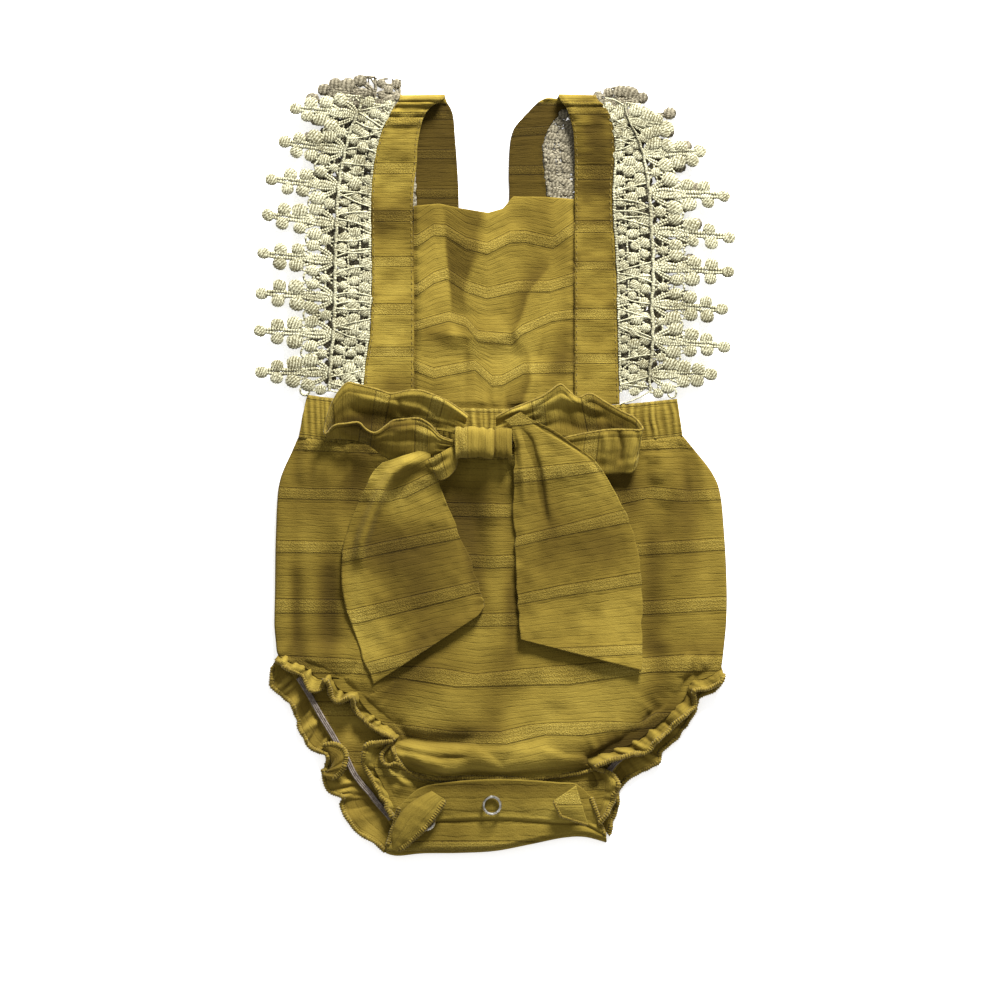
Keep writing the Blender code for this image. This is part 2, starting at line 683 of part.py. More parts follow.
def make_waistbands():
    def front_band_under(u, v):
        x, y = band_place(u, v)
        return x, y, BAND_END_Z + BAND_RISE * math.sin(math.pi * u)

    def front_band_over(u, v):
        x, y, z = front_band_under(u, v)
        swell = math.sin(math.pi * (0.15 + 0.7 * v))
        gather = 0.5 + 0.5 * math.cos(2.0 * math.pi * BAND_GATHERS * u)
        return x, y, z + CLOTH + swell * (0.2 + BAND_GATHER_HEIGHT * gather)

    def back_band(u, v):
        x, y = band_place(u, v)
        return x, y, 0.0

    upright_wall(
        "waistband_front", "mustard_cotton", front_band_under, front_band_over, BAND_GATHERS * 3, 2
    )
    sheet("waistband_back", "mustard_cotton", back_band, 16, 1, thickness=1.7)


# Bib and straps


def band_top_y(x):
    """Height of the waistband's upper edge at x."""
    u = (x - BAND_TOP_X[0]) / (BAND_TOP_X[2] - BAND_TOP_X[0])
    return band_edge(BAND_TOP, BAND_TOP_X, u)[1]


def bib_under(x, y):
    edge = min(x - BIB_SIDE[0], BIB_SIDE[1] - x, BIB_EDGE) / BIB_EDGE
    low = min(max((y - band_top_y(x)) / BIB_EDGE, 0.0), 1.0)
    flat = between(BIB_SEAM_Z, SECOND_LAYER, low)
    return flat + max(edge, 0.0) * low * fold_height(BIB_FOLDS, x, y)


def make_bib():
    def place(u, v):
        x = between(BIB_SIDE[0], BIB_SIDE[1], u)
        low = band_top_y(x) + SEAM
        high = float(np.interp(x, BIB_TOP_X, BIB_TOP_Y))
        y = between(low, high, v)
        return x, y, bib_under(x, y)

    sheet("bib_front", "mustard_cotton", place, 12, 11)


def strap_rows(front, back):
    """Left and right points along a strap, from the front of the waistband to its back."""
    rows = []
    for y, outer_x, inner_x, z in front:
        left_x, right_x = sorted((outer_x, inner_x))
        rows.append(((left_x, y, z), (right_x, y, z)))
    (left_x, _, z), (right_x, _, _) = rows[0]
    rows[0] = tuple((x, band_top_y(x) + SEAM, z) for x in (left_x, right_x))
    fold = back[0]
    centre_z = BACK_TOP + SHOULDER_RADIUS
    for step in range(SHOULDER_STEPS + 1):
        angle = math.pi * (0.5 - step / SHOULDER_STEPS)
        reach = SHOULDER_RADIUS * math.cos(angle) - SHOULDER_RADIUS - CLOTH
        z = centre_z + SHOULDER_RADIUS * math.sin(angle)
        rows.append(((fold[0], fold[1] + reach, z), (fold[2], fold[3] + reach, z)))
    for left_x, left_y, right_x, right_y in back[1:]:
        rows.append(((left_x, left_y, BACK_TOP), (right_x, right_y, BACK_TOP)))
    return np.array(rows)


STRAPS = {
    "left": strap_rows(LEFT_STRAP_FRONT, LEFT_STRAP_BACK),
    "right": strap_rows(RIGHT_STRAP_FRONT, RIGHT_STRAP_BACK),
}


def make_strap(side):
    rows = STRAPS[side]

    def place(u, v):
        left, right = rows[round(v * (len(rows) - 1))]
        return between(left, right, u)

    sheet(f"strap_{side}", "mustard_cotton", place, STRAP_COLUMNS, len(rows) - 1)


# Lace


def strap_edge(side, stretch, y):
    """x and height of the outer edge of a strap's front or back stretch at y."""
    front = LEFT_STRAP_FRONT if side == "left" else RIGHT_STRAP_FRONT
    if stretch == "front":
        levels = [row[0] for row in front]
        x = np.interp(y, levels, [row[1] for row in front])
        return float(x), float(np.interp(y, levels, [row[3] for row in front]))
    back = LEFT_STRAP_BACK if side == "left" else RIGHT_STRAP_BACK
    corner = 0 if side == "left" else 2
    levels = [row[corner + 1] for row in back]
    levels[0] -= SHOULDER_RADIUS + CLOTH
    return column_at(levels, [row[corner] for row in back], y), 0.0


def lace_outline(fingers):
    """Corners of the lace in its own plane: out from the strap and along it, in fingers."""
    corners = [(0.0, -0.5)]
    for finger in range(fingers):
        corners += [(out, finger - along / 2.0) for out, along in FINGER_EDGE]
        corners += [(out, finger + along / 2.0) for out, along in FINGER_EDGE[::-1]][:-1]
    corners.append((FINGER_EDGE[0][0], fingers - 0.5))
    corners += [(0.0, step / 2.0 - 0.5) for step in range(2 * fingers, 0, -1)]
    return corners


def lace_holes(fingers, kinds):
    for gap in range(fingers - 1):
        for out, radius_out, radius_along, corners in kinds:
            turns = [2.0 * math.pi * corner / corners for corner in range(corners)]
            yield [
                (out + radius_out * math.cos(a), gap + 0.5 + radius_along * math.sin(a)) for a in turns
            ]


def flat_lace(name, fingers, kinds):
    """Mesh of the pierced lace, flat and 1 unit thick, out along X and fingers along Y."""
    curve = bpy.data.curves.new(name, "CURVE")
    curve.dimensions = "2D"
    curve.fill_mode = "BOTH"
    curve.extrude = 0.5
    for corners in [lace_outline(fingers), *lace_holes(fingers, kinds)]:
        outline = curve.splines.new("POLY")
        outline.points.add(len(corners) - 1)
        outline.use_cyclic_u = True
        for point, (out, along) in zip(outline.points, corners):
            point.co = (out, along * LACE_PITCH, 0.0, 1.0)
    guide = bpy.data.objects.new(f"{name}_outline", curve)
    ROMPER.objects.link(guide)
    evaluated = guide.evaluated_get(bpy.context.evaluated_depsgraph_get())
    mesh_data = bpy.data.meshes.new_from_object(evaluated)
    bpy.data.objects.remove(guide, do_unlink=True)
    welded = bmesh.new()
    welded.from_mesh(mesh_data)
    bmesh.ops.remove_doubles(welded, verts=welded.verts[:], dist=1e-4)
    bmesh.ops.recalc_face_normals(welded, faces=welded.faces[:])
    welded.to_mesh(mesh_data)
    welded.free()
    return mesh_data


def make_lace(name, side, stretch, rows):
    kinds = LACE_HOLES if stretch == "front" else LACE_HOLES[:LACE_HOLES_HIDDEN]
    mesh_data = flat_lace(name, len(rows), kinds)
    outward = -1.0 if side == "left" else 1.0
    last = len(rows) - 1
    levels = np.arange(len(rows))
    for vertex in mesh_data.vertices:
        out = vertex.co.x / LACE_WIDTH
        along = vertex.co.y / LACE_PITCH
        inner = min(max(along, 0.0), last)
        root_y, tip_x, tip_y, lift = [
            float(np.interp(inner, levels, [row[column] for row in rows])) for column in range(4)
        ]
        pitch = (rows[0][0] - rows[-1][0]) / last
        root_y -= (along - inner) * pitch
        tip_y -= (along - inner) * pitch
        edge_x, edge_z = strap_edge(side, stretch, root_y)
        root_x = edge_x + outward * LACE_SEAM
        x = between(root_x, tip_x, out)
        y = between(root_y, tip_y, out)
        low = SECOND_LAYER if stretch == "front" else 0.0
        wave = LACE_WAVE * (0.5 - 0.5 * math.cos(2.0 * math.pi * along)) * out if low else 0.0
        z = between(max(edge_z, low), low + lift, out**0.5) + wave
        top = LACE_THICKNESS if vertex.co.z > 0.0 else 0.0
        vertex.co = np.array((x, y, z + top)) * MM
    repaired = bmesh.new()
    repaired.from_mesh(mesh_data)
    bmesh.ops.recalc_face_normals(repaired, faces=repaired.faces[:])
    repaired.to_mesh(mesh_data)
    repaired.free()
    finish(name, mesh_data, "cream_lace")


def make_laces():
    make_lace("lace_left_front", "left", "front", LEFT_LACE_FRONT)
    make_lace("lace_left_back", "left", "back", LEFT_LACE_BACK)
    make_lace("lace_right_front", "right", "front", RIGHT_LACE_FRONT)
    make_lace("lace_right_back", "right", "back", RIGHT_LACE_BACK)


# Bow


def make_tail(name, rows, folds):
    def place(u, v):
        left_x, left_y, right_x, right_y, lift = curve_at(rows, 1.0 - v)
        x = between(left_x, right_x, u)
        y = between(left_y, right_y, u)
        edge = min(u, 1.0 - u, TAIL_EDGE) / TAIL_EDGE
        own = max(fold_height(folds, x, y) * edge + TAIL_RISE, 0.0)
        below = front_over(x, min(y, BAND_BOTTOM[1])) + DRAPE
        return x, y, below + lift + own

    sheet(name, "mustard_cotton", place, TAIL_COLUMNS, TAIL_ROWS)


def make_loop(name, rows, reverse):
    steps = (len(rows) - 1) * LOOP_ROWS_EACH

    def place(u, v):
        row = curve_at(rows, round(v * steps) / steps)
        x, y, z = between(row[0:3], row[3:6], u)
        return x, y, z

    sheet(name, "mustard_cotton", place, LOOP_COLUMNS, steps, thickness=1.0, reverse=reverse)


def make_knot():
    """Band round the middle of the bow, narrower where it is pulled tight."""

    def ring(u, turn, grow):
        angle = 2.0 * math.pi * turn
        tight = 1.0 - KNOT_TIGHT * math.sin(math.pi * u)
        middle_z = (KNOT_LOW_Z + KNOT_HIGH_Z) / 2.0
        height = (KNOT_HALF_HEIGHT + grow) * tight
        depth = (KNOT_HIGH_Z - KNOT_LOW_Z) / 2.0 + grow
        cosine = math.cos(angle)
        sine = math.sin(angle)
        y = KNOT_CENTRE_Y + height * math.copysign(abs(cosine) ** KNOT_SQUARE, cosine)
        z = middle_z + depth * math.copysign(abs(sine) ** KNOT_SQUARE, sine)
        return between(KNOT_LEFT_X, KNOT_RIGHT_X, u), y, z

    wrap = bmesh.new()
    rings = [[], []]
    for side, grow in enumerate((0.0, -CLOTH)):
        for column in range(KNOT_COLUMNS + 1):
            corners = [
                wrap.verts.new(np.array(ring(column / KNOT_COLUMNS, turn / KNOT_SIDES, grow)) * MM)
                for turn in range(KNOT_SIDES)
            ]
            rings[side].append(corners)
    for side in range(2):
        for near, far in zip(rings[side], rings[side][1:]):
            bridge(wrap, near, far)
    for end in (0, -1):
        bridge(wrap, rings[0][end], rings[1][end])
    bmesh.ops.recalc_face_normals(wrap, faces=wrap.faces[:])
    mesh_data = bpy.data.meshes.new("bow_knot")
    wrap.to_mesh(mesh_data)
    wrap.free()
    finish("bow_knot", mesh_data, "mustard_cotton")


def bridge(mesh, near, far):
    """Faces between two rings of the same number of corners."""
    count = len(near)
    for corner in range(count):
        following = (corner + 1) % count
        mesh.faces.new((near[corner], near[following], far[following], far[corner]))


def make_bow():
    make_loop("bow_loop_left", LEFT_LOOP, reverse=False)
    make_loop("bow_loop_right", RIGHT_LOOP, reverse=True)
    make_tail("bow_tail_left", LEFT_TAIL, LEFT_TAIL_FOLDS)
    make_tail("bow_tail_right", RIGHT_TAIL, RIGHT_TAIL_FOLDS)
    make_knot()


# Crotch


def crotch_path(u):
    """Wrong side of the crotch band at u across it, from its seam to its free edge."""
    fold_x, fold_y, free_x, free_y = curve_at(CROTCH_BAND, u)
    centre_y = fold_y + CROTCH_FOLD_RADIUS + CLOTH
    centre_z = BACK_TOP + CROTCH_FOLD_RADIUS
    path = [(fold_x, CROTCH_SEAM_Y, BACK_TOP), (fold_x, (CROTCH_SEAM_Y + centre_y) / 2.0, BACK_TOP)]
    for step in range(5):
        angle = -math.pi * (0.5 + step / 4.0)
        y = centre_y + CROTCH_FOLD_RADIUS * math.cos(angle)
        path.append((fold_x, y, centre_z - CROTCH_FOLD_RADIUS * math.sin(angle + math.pi)))
    for row in range(1, CROTCH_FRONT_ROWS + 1):
        part = row / CROTCH_FRONT_ROWS
        x = between(fold_x, free_x, part)
        y = between(centre_y, free_y, part)
        z = max(front_over(x, y) + CROTCH_DRAPE, centre_z + CROTCH_FOLD_RADIUS)
        path.append((x, y, z))
    return path


def make_crotch_band():
    rows = 2 + 5 + CROTCH_FRONT_ROWS - 1

    def place(u, v):
        return crotch_path(u)[round(v * rows)]

    sheet("crotch_band", "mustard_cotton", place, CROTCH_COLUMNS, rows)


def crotch_top(x, y):
    """Right side of the crotch band where it lies on the front."""
    return max(front_over(x, y) + CROTCH_DRAPE, BACK_TOP + 2.0 * CROTCH_FOLD_RADIUS) + CLOTH


def make_band_corner():
    corners = np.array(BAND_CORNER)

    def place(u, v):
        near = between(corners[0], corners[1], u)
        far = between(corners[3], corners[2], u)
        x, y = between(far, near, v)
        puff = CORNER_PUFF * math.sin(math.pi * u) * math.sin(math.pi * v)
        return x, y, crotch_top(x, y) + 2.0 * SNAP_WIRE + CORNER_GAP + puff

    sheet("crotch_band_corner", "mustard_cotton", place, 4, 4, thickness=1.0)


def make_snaps():
    for name, x, y in SNAPS:
        around = [
            crotch_top(x + SNAP_RADIUS * math.cos(a), y + SNAP_RADIUS * math.sin(a))
            for a in np.linspace(0.0, 2.0 * math.pi, 24)
        ]
        bpy.ops.mesh.primitive_torus_add(
            major_radius=SNAP_RADIUS * MM,
            minor_radius=SNAP_WIRE * MM,
            major_segments=18,
            minor_segments=5,
            location=(x * MM, y * MM, (max(around) + SEAM + SNAP_WIRE) * MM),
        )
        ring = bpy.context.object
        ring.name = name
        for holder in list(ring.users_collection):
            holder.objects.unlink(ring)
        ROMPER.objects.link(ring)
        material = make_material("snap_metal")
        material.name = f"{name}_metal"
        ring.data.materials.append(material)
        ring.data.shade_smooth()


clear_scene()
ROMPER = make_collection("baby_romper")
make_bloomers()
make_frills()
make_elastic("leg_elastic_left", BACK_LEFT_LEG, 0)
make_elastic("leg_elastic_right", BACK_RIGHT_LEG, 1)
make_waistbands()
make_bib()
make_strap("left")
make_strap("right")
make_laces()
make_bow()
make_crotch_band()
make_band_corner()
make_snaps()
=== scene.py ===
"""Looks of the baby romper: cloth, lace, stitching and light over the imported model.

Everything is in the model's own frame, in metres. Tables are in millimetres on the table top,
or in pixels of the 1000 x 1000 photograph, which pic() turns into millimetres. +X is to the
viewer's right, +Y to the shoulders, +Z up.
"""

import math

import bpy
import numpy as np
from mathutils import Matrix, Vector


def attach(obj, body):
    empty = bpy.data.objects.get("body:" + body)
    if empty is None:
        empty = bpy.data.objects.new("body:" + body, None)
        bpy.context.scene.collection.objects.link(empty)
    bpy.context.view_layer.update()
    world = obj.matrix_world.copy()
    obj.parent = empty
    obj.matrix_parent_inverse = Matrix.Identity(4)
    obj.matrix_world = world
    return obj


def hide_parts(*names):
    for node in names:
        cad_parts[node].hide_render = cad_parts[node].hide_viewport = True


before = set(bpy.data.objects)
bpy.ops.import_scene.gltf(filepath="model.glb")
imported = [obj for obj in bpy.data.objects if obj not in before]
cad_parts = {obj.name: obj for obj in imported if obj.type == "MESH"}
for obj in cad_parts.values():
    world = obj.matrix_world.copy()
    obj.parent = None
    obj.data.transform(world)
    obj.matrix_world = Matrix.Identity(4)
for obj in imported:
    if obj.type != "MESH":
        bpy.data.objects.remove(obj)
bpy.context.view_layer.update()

MM = 0.001  # metres
PIXEL = 0.5  # millimetres
ORIGIN_PIXEL = (495.0, 471.5)  # pixel of the photograph at the frame's origin
CLOTH = 1.2  # wall of the CAD's cloth
HALF = 0.6  # half of it
WALL = 0.8  # wall of the cloth shown
BACK_TOP = 1.2  # upper side of everything that lies on the table
SECOND_LAYER = 1.6  # wrong side of the pieces that lie on those
DRAPE = 0.8  # gap between the front and the tails that lie on it
PERIOD = 28.0  # of the raised bands along the weave
BAND = 6.5  # width of a raised band
RAISED = 0.22  # height of a raised band
PHASE = 280.0  # a whole number of periods, which keeps places along the weave positive
SEWN_IN = 1.15  # from a strap's edge to its stitches

# ---------------------------------------------------------------- tables from the CAD

# upper and lower edge of the waistband at its left end, middle and right end
BAND_TOP = (38.5, 31.5, 36.5)
BAND_BOTTOM = (17.4, 11.6, 18.4)
BAND_TOP_X = (-94, -2, 91)
BAND_BOTTOM_X = (-98.4, -2, 93.8)
BAND_END_Z = 2.2
BAND_RISE = 0.8
# left and right edge of the bloomers above the legs
SIDE_EDGES = (
    (-98.4, 17, 93.8, 18), (-102.5, 8, 102, 8), (-108, -6.5, 111.5, -6.5), (-109.5, -30, 114.5, -30),
    (-110, -60, 116, -60), (-110.5, -79, 115.5, -80),
)
# leg openings from the side seam to the crotch: seam_x, seam_y, hem_x, hem_y, hem_lift
FRONT_LEFT_LEG = (
    (-108, -91, -109.8, -94.2, 3.2), (-99, -93.5, -102, -99.2, 6.4), (-92, -95.5, -95.5, -102.2, 4.4),
    (-88, -97, -92.5, -109.2, 6.8), (-84.5, -98.5, -87.5, -108.7, 4.6), (-81, -100, -84.5, -104.3, 7.8),
    (-77, -103, -81.5, -113.2, 5), (-73, -106, -77, -114.8, 7.6), (-68, -109.5, -71.5, -112.8, 8.6),
    (-64, -113.5, -70, -118.6, 4.8), (-56, -121, -62.5, -126.8, 6), (-45.5, -131, -51.5, -134, 8),
    (-53, -139, -63.5, -136.6, 7.2), (-57, -147, -65.5, -145, 4.8), (-52.5, -156, -61, -155.2, 5),
    (-49.5, -166, -55, -165.2, 4.8), (-48.6, -174, -51.6, -173.8, 5.6),
)
FRONT_RIGHT_LEG = (
    (113, -96, 113.8, -101, 3.6), (108, -98.5, 114, -104.2, 7.2), (102, -100.5, 107, -108.2, 5.4),
    (95, -103, 99.5, -109.8, 7.8), (92, -110, 99.5, -117.2, 5.2), (86.5, -116, 93.5, -123.2, 7.4),
    (80, -122, 88, -128.4, 5), (73, -127.5, 81.5, -134.2, 7), (65, -132.5, 75.5, -140.2, 5),
    (55, -137.5, 67, -141.6, 8.6), (44.5, -143.5, 50.5, -147.4, 8.2), (49, -149.5, 58.5, -151.4, 5),
    (52, -156, 61, -157, 6.6), (50.5, -163.5, 58.5, -165, 5), (49.4, -169.5, 55.5, -171.4, 6.8),
    (48.8, -175, 51.6, -176.6, 5.4),
)
BACK_LEFT_LEG = (
    (-108.5, -92, -111, -97, 0), (-103.5, -99, -111.5, -106.8, 1.6), (-99, -105.8, -106, -112.2, 0),
    (-95.5, -111.5, -101, -117, 2.2), (-92.5, -117, -99, -124, 0), (-88.5, -124, -96, -132.2, 1.8),
    (-84.5, -130.5, -92, -138.6, 0), (-80.5, -137.5, -84.5, -141.4, 3.8),
    (-76.5, -144, -84, -147.8, 0.4), (-73, -151, -86, -151.4, 2), (-69, -156.5, -83.5, -159.6, 0.2),
    (-65, -161, -76, -162.6, 2.6), (-62, -165, -76.4, -167, 0.2), (-58.5, -169, -73.5, -174, 1.8),
    (-55.5, -172.5, -68.5, -180.4, 0), (-53, -176, -60, -185.4, 1.8), (-51.8, -178, -54.2, -190.8, 0.6),
)
BACK_RIGHT_LEG = (
    (112.5, -97, 114, -101.5, 0), (105, -103, 110.5, -109, 1.6), (98, -110, 101.5, -113, 0),
    (92, -117.5, 100, -119, 2), (86, -124.5, 95.5, -126.5, 0), (80, -130.5, 89.5, -134.4, 1.8),
    (75.5, -135, 82.5, -140, 0), (71.5, -138.5, 81.5, -145.6, 2), (67, -142, 73.5, -149.6, 0.2),
    (62, -146.5, 67, -153.6, 1.6), (58, -152, 62, -159.6, 0), (55.5, -159, 61.6, -165, 1.6),
    (54, -166, 59.5, -171.6, 0), (53, -172, 58, -177.6, 1.4), (52.4, -176.5, 57.6, -182.6, 0),
)
# height of the front at its edge and rise in its middle, for places from the waist down
BELLY = np.array((
    (20, 2.3, 0.8), (5, 1.6, 2.2), (-30, SECOND_LAYER, 3), (-84, SECOND_LAYER, 3.8), (-95, 4.4, 2.4),
    (-120, 4.4, 3.2), (-140, 4.4, 4.6), (-149, 4.4, 2.4), (-158, 4.4, 0.4), (-168, 4.2, 0.1),
    (-176, 2.4, 0.1),
))
# x0, y0, x1, y1, width, height
FRONT_FOLDS = (
    (-81, -40, -83, -84, 4, -1), (-95, -20, -96, -84, 8, 1.2), (5, 2, 3, -85, 8, 1.5),
    (-9, 5, -11, -60, 5, -1), (88, 8, 95, -82, 9, 1.2), (80, -10, 77, -95, 6, -0.9),
    (36, -84, 2, -124, 8, -1.3), (-38, -112, 20, -100, 7, 1), (-36, -144, 46, -138, 6, 1.5),
)
# top of the bib, its sides, its seam at the waist and how wide its edge is
BIB_TOP_X = (-40.1, -28, -18, -3.5, 4, 9, 26, 39.3)
BIB_TOP_Y = (133, 134.2, 132, 129.4, 131.6, 137.6, 137.4, 136.3)
BIB_SIDE = (-40.1, 39.3)
BIB_SEAM_Z = 2.6
BIB_EDGE = 8.0
SHOULDER_RADIUS = 2.4
# y, outer x, inner x, lift
LEFT_STRAP_FRONT = (
    (38, -65.6, -40.5, 2.6), (46, -65.5, -40.5, 2), (54, -64.8, -40.5, SECOND_LAYER),
    (68, -62.6, -40.5, 1.8), (82, -61.9, -40.5, 2.1), (98, -61.6, -40.6, SECOND_LAYER),
    (113, -61.8, -40.7, 1.9), (128, -62, -41, 2), (141, -61.8, -40.8, 2.2), (154, -60.5, -39.2, 2.8),
    (163, -58.8, -38.8, 3.7), (171, -56.2, -37.4, 4.7), (178, -52.8, -35.4, 5.5),
    (183, -50, -31.8, 5.9),
)
RIGHT_STRAP_FRONT = (
    (37, 62.4, 39.7, 2.6), (46, 62, 39.7, 2), (56, 61.7, 39.7, SECOND_LAYER), (68, 61.4, 39.7, 1.8),
    (82, 61, 39.7, 2.1), (98, 60.8, 39.7, SECOND_LAYER), (113, 60, 39.7, 1.9), (128, 58.9, 39.8, 2),
    (141, 58.7, 39.8, 2.3), (154, 59.6, 39.9, 3), (163, 60, 39.6, 3.9), (171, 59.4, 39, 4.8),
    (178, 57.5, 37.2, 5.5), (183, 54.9, 35.2, 5.9),
)
# left x, left y, right x, right y
LEFT_STRAP_BACK = (
    (-47.5, 189.3, -25, 189.6), (-43.5, 180, -21.2, 179.6), (-41.6, 167, -20, 167.2),
    (-40.6, 154, -19, 154.2), (-39.8, 138, -18.2, 138), (-39, 100, -17.6, 100), (-38, 36.6, -17, 34.4),
)
RIGHT_STRAP_BACK = (
    (31.8, 189.8, 50.6, 189.3), (23.6, 186.4, 42.4, 185), (15, 178.2, 33, 179.2), (9, 171, 27, 172),
    (7.2, 161, 24, 162.4), (6.8, 148, 25, 148), (7, 137, 26.4, 137), (6, 100, 26.4, 100),
    (5, 32.6, 26, 34.6),
)
# a row for each finger: root_y, tip_x, tip_y, lift
LEFT_LACE_FRONT = (
    (176.5, -103.5, 182.3, 1), (158.3, -110, 164.8, 0.2), (140.1, -115.5, 146.8, 1.2),
    (121.9, -119, 128.8, 0.2), (103.7, -121, 109.3, 1), (85.5, -121.5, 90.3, 0.2),
    (67.3, -121.5, 70.3, 1.2), (49.1, -122, 50.3, 0.6),
)
LEFT_LACE_BACK = (
    (187.6, -88.5, 191.6, 0.6), (176, -97, 187.6, 0), (158, -98, 168, 0), (140, -98, 148, 0),
    (122, -97.5, 126, 0), (104, -97, 106, 0), (86, -96.5, 87, 0), (68, -96, 68, 0), (50, -96, 50, 0),
)
RIGHT_LACE_FRONT = (
    (176.5, 87.5, 172.5, 1), (158.3, 107.5, 159.8, 0.2), (140.1, 119.5, 137.8, 1.4),
    (121.9, 122, 116.8, 0.2), (103.7, 121.5, 99.6, 1), (85.5, 118.5, 80.8, 0.2), (67.3, 119, 61.8, 1.2),
    (48.6, 112.5, 48.6, 0.6),
)
RIGHT_LACE_BACK = (
    (182, 76, 187.5, 0.4), (170.5, 93, 180, 0), (155, 101, 163, 0), (138, 106, 143, 0),
    (121, 106, 124, 0), (104, 104, 106, 0), (86, 100, 87, 0), (68, 97, 68, 0), (50, 93, 50, 0),
)
# left x, left y, right x, right y, lift
LEFT_TAIL = (
    (-56, 4.4, -32, 12.2, 5.6), (-62, -2.6, -31, 2, 4.8), (-68.5, -15.8, -25.5, -12.2, 1.4),
    (-75, -34.2, -18, -30.8, 0), (-77, -47, -12.5, -44.2, 0.4), (-75, -64.2, -7, -60.2, 0.8),
    (-72, -76, -5.7, -64.6, 0.6), (-66, -93.2, -5.9, -67.4, 0.3), (-60.4, -106.2, -8, -71.8, 0),
)
RIGHT_TAIL = (
    (5.4, 25.4, 12.6, 29.6, 9.8), (8.6, 21.8, 18.6, 26, 8.9), (9.4, 14, 33, 18, 7.6),
    (9.6, 0.8, 52, 3, 4.8), (9.2, -15.8, 62.5, -15, 1.2), (10, -34.2, 70, -33, 0.4),
    (11, -59.2, 73, -54.2, 0.8), (12.4, -75, 73.4, -76.8, 0.3), (13.2, -84, 73.2, -99.6, 0),
)
# Loops: a row for each place along the strip, from the knot out under and back over. Hem edge
# and base edge, each as pixels of the photograph and height in millimetres
LEFT_LOOP = (
    (468, 416, 12, 462, 436, 9.5), (459, 409, 12.3, 452, 433, 8.8), (450, 403, 12.6, 442, 431, 8.2),
    (440, 398, 12.6, 431, 430, 7.8), (430, 394, 12.2, 420, 430, 7.6), (421, 391, 12.4, 410, 431, 7.6),
    (409, 391, 13, 400, 432, 7.6), (399, 393, 11.6, 391, 433, 7.5), (390, 394, 11, 382, 434, 7.5),
    (378, 390, 11.6, 372, 434, 7.5), (366, 387, 11.8, 362, 434, 7.5), (355, 384.5, 12.6, 353, 434, 7.5),
    (348, 383.5, 13.4, 346, 435, 7.6), (340, 391, 12.5, 340, 435, 7.7), (333, 403, 11.5, 335, 436, 7.8),
    (328, 417, 11, 331, 437, 7.9), (324.8, 431, 11.4, 327.5, 437.5, 8),
    (327, 434, 12.4, 330, 438.2, 8.1), (335, 426, 13.6, 338, 438.6, 8.2),
    (347, 424, 14.8, 348, 439.3, 8.2), (359, 423, 15.2, 357, 440.5, 8.3),
    (366, 429.5, 14, 365, 443, 8.4), (376, 433, 13.4, 373, 447.5, 8.5), (388, 425, 14.8, 382, 455, 8.8),
    (394, 421, 15.8, 391, 460, 9), (406, 419.5, 16, 404, 461, 9.2), (419, 419, 15.6, 418, 459, 9.6),
    (430, 425, 15, 430, 456, 10.2), (440, 436, 13.8, 440, 453, 11), (454, 441.5, 13.2, 454, 450, 11.8),
)
LEFT_TURN = 17  # row at the loop's end
RIGHT_LOOP = (
    (496, 417, 12, 496, 440, 9.4), (508, 411, 12, 510, 438, 8.8), (520, 406, 12, 522, 437, 8.4),
    (530, 402, 12, 533, 436, 8), (542, 397, 12.5, 546, 436, 7.8), (551, 391, 13, 556, 436, 7.8),
    (560, 385, 13.5, 566, 437, 7.8), (567, 390, 12.5, 576, 438, 7.8), (577, 398, 10.5, 586, 440, 7.8),
    (590, 394, 11, 597, 442, 7.8), (601, 400, 10.3, 608, 445, 7.8), (612, 406.5, 10.3, 618, 448, 7.9),
    (624, 413, 10, 627, 452, 8), (634, 418, 10.3, 634, 456, 8.1), (639.5, 424, 11, 637.5, 462, 8.2),
    (641.7, 430, 12.3, 632, 472.4, 8.6), (630, 430.2, 13, 622, 473, 8.6), (612, 430, 13, 607, 474, 8.5),
    (595, 432, 12.6, 590, 474, 8.6), (574, 436, 11.4, 568, 472, 8.8), (552, 441, 10, 545, 466, 8.6),
    (530, 444, 9.4, 525, 458, 8.8), (510, 446, 9.6, 510, 452, 9),
)
RIGHT_TURN = 15
# folded edge and seam edge of the band at the crotch
CROTCH_BAND = (
    (-54.4, -191.4, -47.6, -167), (-48.5, -192.6, -38, -158.4), (-36, -191.4, -26, -155.6),
    (-18, -191.2, -12, -154.2), (0, -190.2, 4, -153.6), (18, -186.8, 20, -154.4),
    (34, -183.6, 32, -155.4), (45, -183.2, 40.5, -156.2), (55.8, -186, 47.8, -162.4),
)
CROTCH_SEAM_Y = -178.6
CROTCH_FOLD_RADIUS = 1.0
CROTCH_DRAPE = 0.5
BAND_CORNER = np.array(((29.2, -164.4), (40.4, -156.8), (46.6, -176.6), (33, -172)))
SNAPS = ("snap_left", "snap_middle", "snap_right")
KNOT_X = (-20, 8.4)
KNOT_CENTRE_Y = 14.2
KNOT_HALF_HEIGHT = 8.6
KNOT_Z = (7.4, 17.6)
ELASTIC_INSET = 2.4

# ---------------------------------------------------------------- shape tools


def pic(*points):
    """Points of the photograph in millimetres on the table."""
    spots = np.array(points, float).reshape(-1, 2)
    across, down = ORIGIN_PIXEL
    return np.column_stack(((spots[:, 0] - across) * PIXEL, (down - spots[:, 1]) * PIXEL))


def mix(first, second, part):
    return first + (second - first) * part


def smooth(low, high, value):
    part = np.clip((value - low) / (high - low), 0.0, 1.0)
    return part * part * (3.0 - 2.0 * part)


def bell(away, width):
    """1 where away is 0, falling to nothing at about twice the width."""
    return np.exp(-((away / width) ** 2))


def share(count):
    """Evenly spaced parts from 0 to 1."""
    return np.linspace(0.0, 1.0, count)


def stack(*parts):
    """One array of points or cloth from the arrays of its three coordinates."""
    return np.stack(np.broadcast_arrays(*parts), -1)


